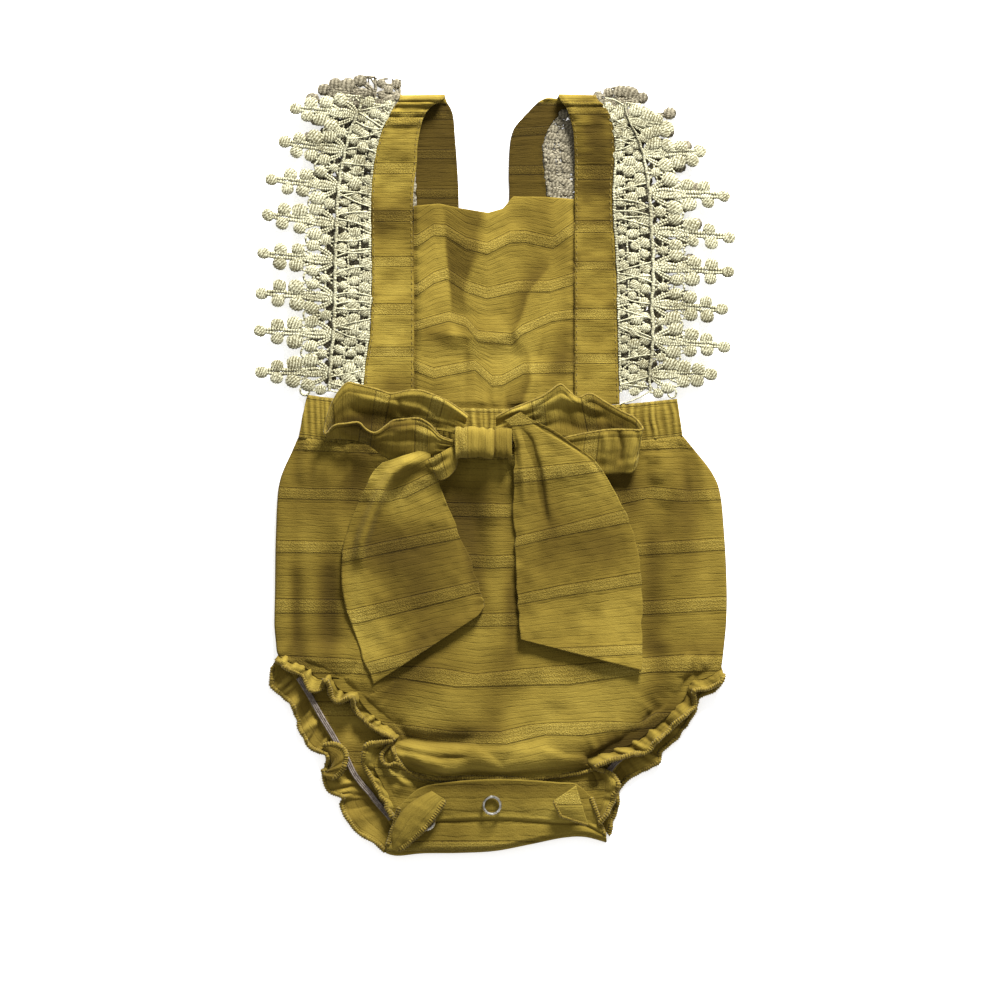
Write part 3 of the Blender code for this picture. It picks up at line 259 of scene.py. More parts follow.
def curve(rows, t):
    """Smooth curve through the rows of a table, at every t from 0 to 1."""
    rows = np.asarray(rows, float)
    last = len(rows) - 1
    place = np.clip(np.asarray(t, float), 0.0, 1.0) * last
    start = np.minimum(place.astype(int), last - 1)
    part = (place - start)[..., None]
    a, b = rows[np.maximum(start - 1, 0)], rows[start]
    c, d = rows[start + 1], rows[np.minimum(start + 2, last)]
    return 0.5 * (
        2.0 * b
        + (c - a) * part
        + (2.0 * a - 5.0 * b + 4.0 * c - d) * part**2
        + (3.0 * b - a - 3.0 * c + d) * part**3
    )


def run_of(points):
    """Length along a line at each of its points."""
    steps = np.linalg.norm(np.diff(points, axis=0), axis=1)
    return np.concatenate(([0.0], np.cumsum(steps)))


def even(points, count):
    """The same line with evenly spaced points."""
    points = np.asarray(points, float)
    run = run_of(points)
    at = np.linspace(0.0, run[-1], count)
    return np.column_stack([np.interp(at, run, column) for column in points.T])


def softened(rows, passes):
    """A line with its corners rounded, between the same ends."""
    rows = rows.copy()
    for _ in range(passes):
        rows[1:-1] = 0.25 * rows[:-2] + 0.5 * rows[1:-1] + 0.25 * rows[2:]
    return rows


def noise(x, y, size, seed):
    """Smooth seeded noise from -1 to 1, with lumps about size millimetres wide."""
    table = np.random.default_rng(seed).uniform(-1.0, 1.0, (64, 64))
    x, y = np.broadcast_arrays(np.asarray(x, float) / size, np.asarray(y, float) / size)
    column, row = np.floor(x).astype(int), np.floor(y).astype(int)
    right, up = x - column, y - row
    right, up = right * right * (3.0 - 2.0 * right), up * up * (3.0 - 2.0 * up)

    def at(i, j):
        return table[(column + i) % 64, (row + j) % 64]

    low = mix(at(0, 0), at(1, 0), right)
    return mix(low, mix(at(0, 1), at(1, 1), right), up)


def nearest(x, y, line):
    """Distance to a line, side of it (1 left of its direction), and length along it."""
    line = np.asarray(line, float)
    run = run_of(line)
    best = np.full(np.shape(x), 1e9)
    side, place = np.zeros(np.shape(x)), np.zeros(np.shape(x))
    for index in range(len(line) - 1):
        x0, y0 = line[index, :2]
        dx, dy = line[index + 1, :2] - line[index, :2]
        length = math.hypot(dx, dy)
        part = np.clip(((x - x0) * dx + (y - y0) * dy) / length**2, 0.0, 1.0)
        ox, oy = x - x0 - dx * part, y - y0 - dy * part
        away = np.hypot(ox, oy)
        closer = away < best
        best = np.where(closer, away, best)
        side = np.where(closer, np.sign(dx * oy - dy * ox), side)
        place = np.where(closer, run[index] + part * length, place)
    return best, side, place


def creases(x, y, rows):
    """Sum of ridges and troughs: line, width left of its direction, width right, height."""
    total = np.zeros(np.shape(x))
    for line, left, right, height in rows:
        line = pic(*line)
        away, side, place = nearest(x, y, line)
        length = run_of(line)[-1]
        ends = smooth(0.0, 0.22, np.minimum(place, length - place) / length)
        total += height * ends * bell(away, np.where(side > 0, left, right))
    return total


def shades(x, y, rows):
    """Painted shade and painted light in soft places: centre and sizes in pixels, turn, and strength.
    """
    total = np.zeros(np.shape(x))
    for column, row, long, short, turn, strength in rows:
        centre = pic(column, row)[0]
        angle = math.radians(turn)
        dx, dy = x - centre[0], y - centre[1]
        along = (dx * math.cos(angle) + dy * math.sin(angle)) / (PIXEL * long)
        across = (dy * math.cos(angle) - dx * math.sin(angle)) / (PIXEL * short)
        total += strength * np.exp(-(along**2 + across**2))
    return total


def hollows(points, reach=2.2):
    """How far each point of a grid lies below the cloth around it, where shade gathers."""
    z = points[:, :, 2]
    flat = z.copy()
    for axis in (0, 1):
        step = np.median(np.linalg.norm(np.diff(points, axis=axis), axis=2)) + 1e-6
        half = int(np.clip(round(reach / step), 1, 12))
        pads = [(half, half) if a == axis else (0, 0) for a in (0, 1)]
        wide = np.cumsum(np.pad(flat, pads, mode="edge"), axis=axis)
        wide = np.concatenate((np.zeros_like(np.take(wide, [0], axis)), wide), axis)
        size = flat.shape[axis]
        high = np.take(wide, np.arange(size) + 2 * half + 1, axis)
        flat = (high - np.take(wide, np.arange(size), axis)) / (2 * half + 1)
    return np.clip(z - flat, -1.5, 1.0)


def fold_height(folds, x, y):
    """The CAD's soft ridges and troughs."""
    total = np.zeros(np.shape(x))
    for x0, y0, x1, y1, width, height in folds:
        dx, dy = x1 - x0, y1 - y0
        part = np.clip(((x - x0) * dx + (y - y0) * dy) / (dx * dx + dy * dy), 0.0, 1.0)
        total += height * bell(np.hypot(x - x0 - dx * part, y - y0 - dy * part), width)
    return total


def cloth_t(x, y, lines):
    """Place along the weave, from traced lines (t, points in pixels) from the top down."""
    levels = []
    for t, points in lines:
        spots = pic(*points)
        levels.append((t, np.interp(x, spots[:, 0], spots[:, 1])))
    value = levels[0][0] + levels[0][1] - y
    for (t0, high), (t1, low) in zip(levels, levels[1:]):
        part = (high - y) / np.maximum(high - low, 0.5)
        value = np.where(y < high, t0 + (t1 - t0) * part, value)
    t_last, lowest = levels[-1]
    return np.where(y < lowest, t_last + lowest - y, value)


def in_band(t):
    """1 inside a raised band of the weave, 0 outside, with soft edges."""
    m = np.mod(t, PERIOD)
    start = PERIOD - BAND
    return smooth(start - 0.5, start + 0.5, m) * (1.0 - smooth(PERIOD - 0.5, PERIOD, m))


def weave(x, y, lines, tone=0.0):
    """The cloth attribute: place across and along the weave, and a tone of painted shade and light."""
    t = cloth_t(x, y, lines)
    return stack(x, t, np.zeros_like(t) + tone)


def strip(table, count, columns):
    """Grid between two traced edges: its x, y and z, its rows, and the part across."""
    ends = np.array([[*high, *low] for high, low in table])
    rows = np.column_stack((pic(*ends[:, 0:2]), ends[:, 2], pic(*ends[:, 3:5]), ends[:, 5]))
    rows = curve(rows, share(count))
    v = share(columns)[None, :]
    x, y, z = (mix(rows[:, i : i + 1], rows[:, i + 3 : i + 4], v) for i in range(3))
    return x, y, z, rows, v


# ---------------------------------------------------------------- mesh tools


def new_piece(name, points, faces, material, replaces, cloth):
    """Object from points in millimetres, riding on the romper's one body."""
    mesh = bpy.data.meshes.new(name)
    mesh.from_pydata((np.asarray(points) * MM).tolist(), [], faces)
    mesh.materials.append(material)
    mesh.shade_smooth()
    mesh.attributes.new("cloth", "FLOAT_VECTOR", "POINT").data.foreach_set(
        "vector", np.asarray(cloth, np.float32).ravel()
    )
    piece = bpy.data.objects.new(name, mesh)
    bpy.context.scene.collection.objects.link(piece)
    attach(piece, "root")
    if replaces:
        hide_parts(*replaces)
    return piece


def quads(rows, columns, wrap=False):
    index = np.arange(rows * columns).reshape(rows, columns)
    if wrap:
        index = np.column_stack((index, index[:, :1]))
    corners = (index[:-1, :-1], index[:-1, 1:], index[1:, 1:], index[1:, :-1])
    return np.stack(corners, -1).reshape(-1, 4)


def sheet(name, points, cloth, material, replaces=(), wall=WALL, wrap=False):
    """Cloth through a grid of points, with half its wall to each side."""
    rows, columns = points.shape[:2]
    cloth = np.array(cloth, float)
    # painted shade in the hollows of the cloth, and tone that differs at random
    tone = cloth[:, :, 2] + 0.2 * hollows(points)
    tone += 0.06 * noise(points[:, :, 0], points[:, :, 1] * 0.6, 9.0, 401)
    # the darkest places keep some light
    cloth[:, :, 2] = np.where(tone < -0.4, -0.4 - 0.4 * np.tanh((-tone - 0.4) / 0.4), tone)
    faces = quads(rows, columns, wrap).tolist()
    spots = points.reshape(-1, 3)
    piece = new_piece(
        name, spots, faces, material, replaces, cloth.reshape(-1, 3)
    )
    solid = piece.modifiers.new("wall", "SOLIDIFY")
    solid.thickness = wall * MM
    solid.offset = 0.0
    return piece


def tube(path, radius, sides=6, flat=1.0):
    """Points and faces of a closed tube along a path."""
    path = np.asarray(path, float)
    radius = np.broadcast_to(np.asarray(radius, float), (len(path),))
    tangent = np.gradient(path, axis=0)
    tangent /= np.maximum(np.linalg.norm(tangent, axis=1, keepdims=True), 1e-9)
    side = np.cross(tangent, (0.0, 0.0, 1.0))
    side /= np.maximum(np.linalg.norm(side, axis=1, keepdims=True), 1e-9)
    up = np.cross(side, tangent)
    turn = 2.0 * math.pi * np.arange(sides) / sides
    ring = (
        np.cos(turn)[None, :, None] * side[:, None, :]
        + flat * np.sin(turn)[None, :, None] * up[:, None, :]
    )
    points = path[:, None, :] + radius[:, None, None] * ring
    faces = quads(len(path), sides, wrap=True).tolist()
    faces.append(list(range(sides)))
    faces.append(list(range((len(path) - 1) * sides, len(path) * sides))[::-1])
    return points.reshape(-1, 3), faces


class Bundle:
    """Many small shapes that become one mesh."""

    def __init__(self):
        self.points, self.faces, self.cloth, self.count = [], [], [], 0

    def add(self, points, faces, shade=0.5):
        cloth = np.zeros((len(points), 3))
        cloth[:, 0] = shade
        self.points.append(points)
        self.cloth.append(cloth)
        self.faces.extend([[corner + self.count for corner in face] for face in faces])
        self.count += len(points)

    def piece(self, name, material, slot="mustard_cotton", replaces=()):
        points = np.concatenate(self.points)
        points[:, 2] = np.maximum(points[:, 2], 0.02)
        cloth = np.concatenate(self.cloth)
        return new_piece(name, points, self.faces, material, replaces, cloth)


def rope(bundle, path, radius, seed, pitch=1.25, flat=0.8):
    """Overlocked edge: a thick cord of thread with a rib for each stitch."""
    path = np.asarray(path, float)
    length = run_of(path)[-1]
    count = max(int(length / (pitch / 4.0)), 4)
    path = even(path, count)
    run = np.linspace(0.0, length, count)
    wobble = 1.0 + 0.16 * noise(run, 0.0, 3.0, seed + 11)
    ribs = 1.0 + 0.2 * np.cos(2.0 * math.pi * run / pitch + 0.8 * noise(run, 4.0, 5.0, seed + 5))
    ends = np.clip(np.minimum(run, length - run) / radius, 0.15, 1.0)
    width = radius * wobble * ribs * ends
    path[:, 2] = np.maximum(path[:, 2], width * flat)
    bundle.add(*tube(path, width, 6, flat))


def roped(name, *edges):
    """Piece with an overlocked rope along each edge: path, radius and seed."""
    ropes = Bundle()
    for edge in edges:
        rope(ropes, *edge)
    return ropes.piece(name, OVERLOCK)


def rolled(name, path, radius):
    """Piece with a plain rolled hem along a path."""
    hems = Bundle()
    hems.add(*tube(path, radius, 6))
    return hems.piece(name, OVERLOCK)


def stitches(bundle, path, length=2.1, gap=0.9, radius=0.24, sink=0.05):
    """Row of short straight stitches along a path on the cloth."""
    path = np.asarray(path, float)
    count = int(run_of(path)[-1] / (length + gap))
    fine = even(path, count * 8 + 1)
    arch = np.array((-0.15, 0.1, 0.18, 0.18, 0.1, -0.15)) - sink
    width = (0.5 * radius, radius, radius, radius, radius, 0.5 * radius)
    for index in range(count):
        part = fine[index * 8 : index * 8 + 6].copy()
        part[:, 2] += arch
        bundle.add(*tube(part, width, 4))


# ---------------------------------------------------------------- materials


class Value:
    """Output of a shader node, to add, multiply and so on."""

    def __init__(self, nodes, socket):
        self.nodes, self.socket = nodes, socket

    def __add__(self, other):
        return self.nodes.math("ADD", self, other)

    def __radd__(self, other):
        return self.nodes.math("ADD", other, self)

    def __sub__(self, other):
        return self.nodes.math("SUBTRACT", self, other)

    def __rsub__(self, other):
        return self.nodes.math("SUBTRACT", other, self)

    def __mul__(self, other):
        return self.nodes.math("MULTIPLY", self, other)

    def __truediv__(self, other):
        return self.nodes.math("DIVIDE", self, other)


class Nodes:
    """Short way to write a node tree."""

    def __init__(self, name):
        self.material = bpy.data.materials.new(name)
        self.material.use_nodes = True
        self.tree = self.material.node_tree
        self.surface = self.tree.nodes["Principled BSDF"].inputs

    def link(self, value, socket):
        if isinstance(value, Value):
            self.tree.links.new(value.socket, socket)
        else:
            socket.default_value = value

    def node(self, kind, inputs=(), output=0, **settings):
        """Output of a new node, with its inputs in order or by their place or name."""
        node = self.tree.nodes.new(kind)
        for setting, value in settings.items():
            setattr(node, setting, value)
        for place, value in inputs.items() if isinstance(inputs, dict) else enumerate(inputs):
            self.link(value, node.inputs[place])
        return Value(self, node.outputs[output])

    def math(self, operation, first, second=0.0, clamp=False):
        return self.node("ShaderNodeMath", (first, second), operation=operation, use_clamp=clamp)

    def ramp(self, value, low, high, out_low=0.0, out_high=1.0, soft=True):
        kind = "SMOOTHSTEP" if soft else "LINEAR"
        inputs = (value, low, high, out_low, out_high)
        return self.node("ShaderNodeMapRange", inputs, interpolation_type=kind)

    def vector(self, x, y, z=0.0):
        return self.node("ShaderNodeCombineXYZ", (x, y, z))

    def noise(self, vector, detail=1.0, rough=0.5):
        inputs = {"Vector": vector, "Scale": 1.0, "Detail": detail, "Roughness": rough}
        return self.node("ShaderNodeTexNoise", inputs)

    def mix(self, part, first, second):
        return self.node("ShaderNodeMix", {0: part, 6: first, 7: second}, 2, data_type="RGBA")

    def times(self, colour, factors):
        return self.node("ShaderNodeVectorMath", (colour, factors), operation="MULTIPLY")

    def attribute(self, name):
        whole = self.node("ShaderNodeAttribute", (), "Vector", attribute_name=name)
        split = self.tree.nodes.new("ShaderNodeSeparateXYZ")
        self.link(whole, split.inputs[0])
        return [Value(self, output) for output in split.outputs]

    def position(self, scale):
        """Place on the object, in units of 1/scale metres."""
        place = self.node("ShaderNodeTexCoord", (), "Object")
        return self.node("ShaderNodeVectorMath", {0: place, "Scale": scale}, operation="SCALE")

    def colour(self, value):
        self.link(value, self.surface["Base Color"])

    def bump(self, height, distance):
        inputs = {"Strength": 1.0, "Distance": distance, "Height": height}
        self.link(self.node("ShaderNodeBump", inputs), self.surface["Normal"])

    def finish(self, roughness, sheen=0.0, sheen_roughness=0.5, tint=(1.0, 1.0, 1.0, 1.0)):
        self.surface["Roughness"].default_value = roughness
        self.surface["Metallic"].default_value = 0.0
        self.surface["Sheen Weight"].default_value = sheen
        self.surface["Sheen Roughness"].default_value = sheen_roughness
        self.surface["Sheen Tint"].default_value = tint
        self.surface["Specular IOR Level"].default_value = 0.12
        return self.material


def rgb(red, green, blue):
    return (red, green, blue, 1.0)


def mustard_cotton(name, base, dark, light, lines=1.0):
    """Slubby cotton with dark pick lines every 3 mm and raised speckled bands."""
    n = Nodes(name)
    s, t, tone = n.attribute("cloth")
    wide = n.noise(n.vector(s * 0.09, t * 0.11))
    bent = t + (wide - 0.5) * 1.4

    def picks(pitch, width, stretch, shift, rough, low, high):
        """Thin dark lines, broken into dashes that differ from row to row."""
        row = n.math("FLOOR", bent / pitch)
        away = n.math("ABSOLUTE", n.math("FRACT", bent / pitch) - 0.5)
        dashes = n.ramp(n.noise(n.vector(s * stretch, row * shift), 3.0, rough), low, high)
        return n.ramp(away, 0.0, width, 1.0, 0.0) * dashes, dashes

    line, dashes = picks(3.1, 0.11, 0.17, 5.7, 0.75, 0.22, 0.62)
    fine_line, _ = picks(1.24, 0.24, 0.13, 3.3, 0.7, 0.3, 0.68)
    slub = n.noise(n.vector(s * 0.4, t * 1.7), 2.0, 0.6)
    yarn = n.noise(n.vector(s * 2.4, t * 2.4))
    # raised bands with a dark line along both edges
    place = n.math("MODULO", t + PHASE, PERIOD)
    start = PERIOD - BAND
    band = n.ramp(place, start - 0.2, start + 0.25) * n.ramp(place, PERIOD - 0.3, PERIOD, 1.0, 0.0)
    upper = n.ramp(n.math("ABSOLUTE", place - start), 0.1, 0.45, 1.0, 0.0)
    lower = n.ramp(n.math("ABSOLUTE", place - (PERIOD - 0.25)), 0.1, 0.45, 1.0, 0.0)
    rows = n.math("SINE", place * (2.0 * math.pi / 1.6))
    speck = n.ramp(n.noise(n.vector(s * 1.5, t * 1.7), 1.5, 0.65) + rows * 0.05, 0.38, 0.62)
    plain = 1.0 - band
    edge = n.math("MAXIMUM", upper, lower) * n.ramp(dashes, 0.0, 1.0, 0.55, 1.0)
    # how light the yarn is, 0.5 on average
    value = 0.5 + (slub - 0.5) * 0.2 + (yarn - 0.5) * 0.36 + (wide - 0.5) * 0.2
    value = value - line * plain * (0.16 * lines) - fine_line * plain * (0.09 * lines)
    value = n.math("SUBTRACT", value + (speck - 0.14) * band * 0.36, edge * 0.42, clamp=True)
    low = n.mix(n.ramp(value, 0.0, 0.5, soft=False), dark, base)
    # the painted shade and painted light in tone scale the colour, and shaded cloth is deeper in
    # colour, as light bounces between its folds
    light_left = n.math("MAXIMUM", tone + 1.0, 0.05)
    deeper = n.vector(*(n.math("POWER", light_left, power) for power in (1.0, 1.09, 1.45)))
    n.colour(n.times(n.mix(n.ramp(value, 0.5, 1.0, soft=False), low, light), deeper))
    crinkle = n.noise(n.vector(s * 0.13, t * 0.5), 2.0, 0.55)
    height = slub * 0.2 + crinkle * 0.55 + yarn * 0.3 - line * plain * 0.2
    n.bump(height - fine_line * plain * 0.08 + speck * band * 0.4 - edge * 0.5, 0.0005)
    return n.finish(0.92, 0.06, 0.45, rgb(1.0, 0.9, 0.6))


def thread(name, base, dark):
    """Overlock and sewing thread."""
    n = Nodes(name)
    fine = n.noise(n.position(900.0), 2.0, 0.6)
    value = fine * 0.7 + n.noise(n.position(90.0)) * 0.3
    n.colour(n.mix(n.ramp(value, 0.3, 0.65), dark, base))
    n.bump(fine, 0.0003)
    return n.finish(0.85, 0.15, 0.45, rgb(1.0, 0.93, 0.7))


def lace_thread(name, base, dark):
    """Embroidered guipure: short satin threads, with painted light on their ridges and painted shade
    between them.
    """
    n = Nodes(name)
    fine = n.noise(n.position(1150.0), 2.0, 0.6)
    value = fine * 0.85 + n.noise(n.position(70.0)) * 0.3 + n.attribute("cloth")[0] * 0.3
    n.colour(n.mix(n.ramp(value, 0.54, 0.95), dark, base))
    n.bump(fine, 0.0005)
    return n.finish(0.75, 0.1, 0.5)


def elastic_cord(name, base, dark):
    n = Nodes(name)
    fine = n.noise(n.position(700.0), 2.0, 0.6)
    n.colour(n.mix(n.ramp(fine, 0.35, 0.65), dark, base))
    n.bump(fine, 0.0003)
    return n.finish(0.7, 0.1)


def nickel(name, base, dark):
    n = Nodes(name)
    fine = n.noise(n.position(500.0), 2.0, 0.6)
    n.colour(n.mix(n.ramp(fine, 0.3, 0.7), dark, base))
    n.link(n.ramp(fine, 0.2, 0.8, 0.22, 0.4), n.surface["Roughness"])
    n.bump(fine, 0.0001)
    n.surface["Metallic"].default_value = 1.0
    return n.material


COTTON = mustard_cotton(
    "cotton", rgb(0.19, 0.134, 0.0185), rgb(0.074, 0.049, 0.006), rgb(0.288, 0.214, 0.042)
)
COTTON_INSIDE = mustard_cotton(
    "cotton_inside", rgb(0.185, 0.127, 0.018), rgb(0.078, 0.05, 0.006), rgb(0.27, 0.195, 0.037), 0.7
)
OVERLOCK = thread("overlock", rgb(0.21, 0.148, 0.022), rgb(0.085, 0.056, 0.008))
SEWING = thread("sewing", rgb(0.2, 0.14, 0.02), rgb(0.085, 0.056, 0.008))
LACE = lace_thread("lace", rgb(0.57, 0.55, 0.37), rgb(0.11, 0.095, 0.045))
# the lace behind is darker both as the duller reverse of the lace and as painted shade from the layer
# over it
LACE_BACK = lace_thread("lace_behind", rgb(0.27, 0.24, 0.165), rgb(0.08, 0.067, 0.04))
ELASTIC = elastic_cord("elastic", rgb(0.25, 0.208, 0.172), rgb(0.13, 0.102, 0.082))
METAL = nickel("nickel", rgb(0.66, 0.65, 0.61), rgb(0.36, 0.34, 0.3))

# ---------------------------------------------------------------- bloomers


def cad_edges(left_leg, right_leg):
    """Left and right edge of the CAD's front, from the waist down to the crotch."""
    rows = [curve(SIDE_EDGES, row / 8.0) for row in range(8)]
    edges = [((row[0], row[1]), (row[2], row[3])) for row in rows]
    for row in range(21):
        edges.append((curve(left_leg, row / 20.0)[:2], curve(right_leg, row / 20.0)[:2]))
    return np.array(edges)


CAD_FRONT = cad_edges(FRONT_LEFT_LEG, FRONT_RIGHT_LEG)

# ridges and troughs of the front: points in pixels, width on either side, height
FRONT_CREASES = (
    # left side of the bloomers
    (((293, 560), (296, 610), (298, 640), (301, 662)), 5, 4, -1.3),
    (((327, 560), (329, 620), (333, 655)), 6, 7, -1.2),
    (((312, 468), (330, 474), (346, 484)), 6, 8, 1.2),
    (((352, 455), (338, 500), (334, 540)), 4, 6, 0.8),
    (((284, 500), (281, 560), (284, 620)), 5, 3, 0.8),
    # between the tails
    (((490, 462), (491, 490), (491, 530)), 5, 8, 1.2),
    (((462, 470), (474, 520), (492, 590)), 4, 5, -0.9),
    (((505, 480), (508, 540), (512, 600)), 3, 5, -0.8),
    # right side
    (((640, 454), (663, 456), (665, 468), (652, 485)), 3.4, 4.4, 1.1),
    (((655, 438), (652, 470), (648, 505)), 3, 3.5, -1.1),
    (((681, 434), (684, 470), (690, 505)), 2.5, 3.5, -1.2),
    (((700, 440), (707, 480), (716, 520)), 3, 4, 1),
    (((666, 500), (665, 520), (668, 545)), 4, 5, -1),
    (((688, 500), (694, 560), (696, 640)), 6, 8, 1),
    (((660, 640), (662, 690), (640, 738)), 5, 5, -1.8),
    (((714, 650), (715, 663), (714, 676)), 3, 3, -1),
    (((690, 650), (686, 672), (682, 694)), 2.5, 2.5, 1.1),
    (((704, 654), (700, 672), (697, 690)), 2.5, 2.5, 1),
    # low middle
    (((372, 715), (385, 729), (397, 737), (425, 742), (460, 742), (486, 737)), 4, 2.6, -2.8),
    (((380, 748), (400, 757), (420, 764), (445, 770), (475, 771)), 3, 2.6, 1.6),
    (((594, 763), (619, 747), (637, 730)), 2.4, 3.4, -1.8),
    (((560, 700), (548, 730), (520, 752)), 5, 8, -1),
    (((430, 700), (470, 712), (520, 705)), 8, 8, 0.9),
    (((474, 741), (490, 752), (510, 768)), 7, 2.6, -1.3),
    (((386, 747), (410, 751), (440, 757), (474, 757)), 1, 1.3, -1.3),
    (((387, 754), (412, 760), (440, 765)), 0.9, 1, -1.1),
    (((540, 744), (566, 752), (596, 752)), 5, 2, -1.2),
    (((388, 757), (398, 768), (414, 775), (440, 778), (480, 777), (522, 778), (560, 774), (598, 770)),
        1, 1, 2),
    (((390, 748), (404, 758), (424, 762), (446, 764)), 1, 1.2, 1.3),
    (((385, 762), (392, 774), (404, 782), (416, 785)), 1, 1, 1.6),
    (((376, 752), (381, 770), (390, 788)), 1.4, 1.4, -1.8),
    (((604, 768), (622, 752), (640, 742), (652, 730)), 1.6, 1.6, -2),
    (((640, 728), (650, 715), (668, 705)), 1.6, 1.6, -1.6),
)
# lower edge of the puffed front, which overhangs the band at the crotch
BULGE = pic(
    (380, 744), (395, 749), (430, 766), (445, 771), (470, 768), (507, 770), (553, 766), (590, 765),
    (614, 752),
)
# weave of the front: place along it in millimetres, and where that lies in pixels
FRONT_BANDS = (
    (-6.5, ((276, 437), (310, 437), (495, 447), (640, 433), (682, 431))),
    (0, ((276, 450), (310, 451), (495, 460), (640, 451), (682, 449), (719, 452))),
    (21.5, ((276, 487), (312, 489), (356, 489), (400, 497), (450, 503), (510, 504), (560, 500),
        (619, 490.7), (654, 487), (689, 490.7), (719, 489))),
    (28, ((276, 499), (356, 501), (400, 510), (450, 517), (510, 518), (560, 514), (623, 504.7),
        (647, 499), (682, 502), (719, 500.5))),
    (49.5, ((276, 541), (356, 542), (420, 552), (490, 556), (560, 553), (637, 544), (719, 538.4))),
    (56, ((276, 553), (356, 554), (420, 565), (490, 569), (560, 565), (639, 556), (719, 551))),
    (77.5, ((276, 599), (352, 600), (420, 610), (480, 614), (520, 613), (600, 604), (719, 597))),
    (84, ((276, 614), (352, 614), (420, 623), (480, 627), (520, 626), (600, 618), (719, 611))),
    (105.5, ((290, 656), (350, 659), (401, 666), (442, 668.6), (475.6, 674.4), (518.7, 669.5),
        (580, 664), (643, 658), (686.5, 654.7), (723, 655.4))),
    (112, ((290, 674), (350, 674), (389, 677), (426, 682.7), (455.7, 687.7), (518.7, 686), (570, 685.6),
        (619, 677.9), (648.6, 673), (717, 671.6))),
    (133.5, ((380, 722), (400, 724.6), (453.6, 731.5), (499.5, 732), (530, 724.6), (553, 723),
        (598, 721.4), (639, 723), (657, 713))),
    (140, ((380, 730), (400, 734.5), (430.6, 740), (473.5, 743.7), (507, 744.5), (545.4, 735.3),
        (583.7, 736), (616, 731), (657, 728))),
    (161.5, ((394, 768), (500, 790), (600, 780))),
    (168, ((394, 776), (500, 800), (600, 790))),
)
# painted shade and painted light in darker and lighter places: centre and sizes in pixels, turn in
# degrees, strength
FRONT_SHADES = (
    (495, 540, 270, 120, 0, -0.14), (575, 712, 130, 46, 0, 0.34), (432, 703, 76, 24, 8, 0.3),
    (650, 670, 40, 30, 0, 0.1), (480, 640, 20, 20, 0, 0.14), (312, 515, 50, 85, 0, -0.26),
    (345, 448, 54, 14, 0, -0.34), (358, 478, 14, 26, -15, -0.5), (329, 600, 12, 70, 0, -0.58),
    (296, 605, 7, 60, 0, -0.42), (284, 600, 9, 60, 0, 0.1), (312, 600, 9, 50, 0, 0.12),
    (474, 490, 40, 36, 0, -0.3), (468, 520, 22, 44, 20, -0.42), (478, 575, 8, 44, 12, -0.34),
    (497, 545, 12, 70, 0, 0.1), (513, 612, 9, 46, 0, -0.42), (622, 482, 28, 20, 0, -0.5),
    (652, 585, 15, 150, 0, -0.44), (664, 710, 20, 44, -30, -0.3), (690, 500, 22, 90, 0, -0.34),
    (653, 497, 18, 34, 0, 0.42), (675, 648, 70, 9, 0, -0.36), (668, 668, 22, 16, 0, -0.4),
    (310, 645, 40, 24, 0, -0.34), (302, 674, 14, 18, 0, -0.34), (455, 530, 14, 60, -10, -0.3),
    (433, 682, 66, 18, 32, -0.3), (393, 720, 16, 50, -14, -0.3), (488, 645, 60, 40, 0, 0.36),
    (455, 682, 100, 26, 0, -0.12), (418, 704, 44, 20, 0, 0.14), (368, 697, 50, 10, 12, -0.16),
    (628, 748, 50, 13, -30, -0.3), (632, 672, 44, 16, 20, 0.26), (698, 700, 18, 40, 30, 0.3),
    (330, 650, 24, 18, 0, 0.22), (412, 773, 40, 10, 6, 0.5), (548, 770, 120, 9, 0, 0.4),
    (522, 753, 70, 18, 0, 0.34), (420, 741, 50, 12, 0, -0.16), (330, 449, 22, 14, 0, 0.4),
    (330, 537, 14, 26, 0, 0.35), (302, 538, 20, 26, 0, 0.3), (676, 515, 20, 40, 0, -0.2),
    (632, 508, 14, 24, 0, -0.3), (606, 757, 30, 9, 20, -0.3), (466, 486, 12, 16, 0, 0.4),
    (497, 467, 40, 16, 0, 0.5), (640, 740, 50, 24, 35, -0.36), (597, 757, 50, 14, 20, -0.5),
    (704, 560, 18, 100, 0, 0.2), (628, 605, 18, 60, 0, 0.1), (430, 658, 74, 14, 35, -0.4),
    (580, 674, 74, 12, -13, -0.26), (500, 668, 15, 70, -8, -0.28), (482, 706, 44, 66, -30, -0.42),
    (440, 734, 80, 10, 0, -0.46), (560, 752, 70, 16, 6, -0.26), (484, 750, 80, 24, -4, 0.16),
    (636, 748, 80, 15, 32, -0.5), (694, 690, 16, 60, -20, -0.24), (385, 775, 40, 30, -60, -0.16),
    (428, 764, 70, 7, 12, -0.3), (404, 750, 36, 12, 20, 0.3),
)
INSIDE_SHADES = (
    (322, 698, 46, 10, -12, -0.5), (348, 722, 34, 14, -10, 0.26), (322, 742, 16, 14, 0, 0.2),
    (346, 731, 30, 4, -4, -0.4), (356, 756, 16, 16, 0, -0.45), (300, 672, 16, 10, 0, -0.3),
    (366, 790, 24, 4, -35, -0.4), (372, 805, 24, 4, -40, -0.3),
)


def gathered_to(leg, part):
    """The table of a leg with the panel's edge moved towards the hem."""
    rows = np.array(leg)
    rows[:, 0:2] = mix(rows[:, 0:2], rows[:, 2:4], part)
    return rows


FRONT_LEFT_HEM = gathered_to(FRONT_LEFT_LEG, 0.5)
FRONT_RIGHT_HEM = gathered_to(FRONT_RIGHT_LEG, 0.45)
FRONT_SEAMS = [curve(leg, share(160))[:, :2] for leg in (FRONT_LEFT_HEM, FRONT_RIGHT_HEM)]


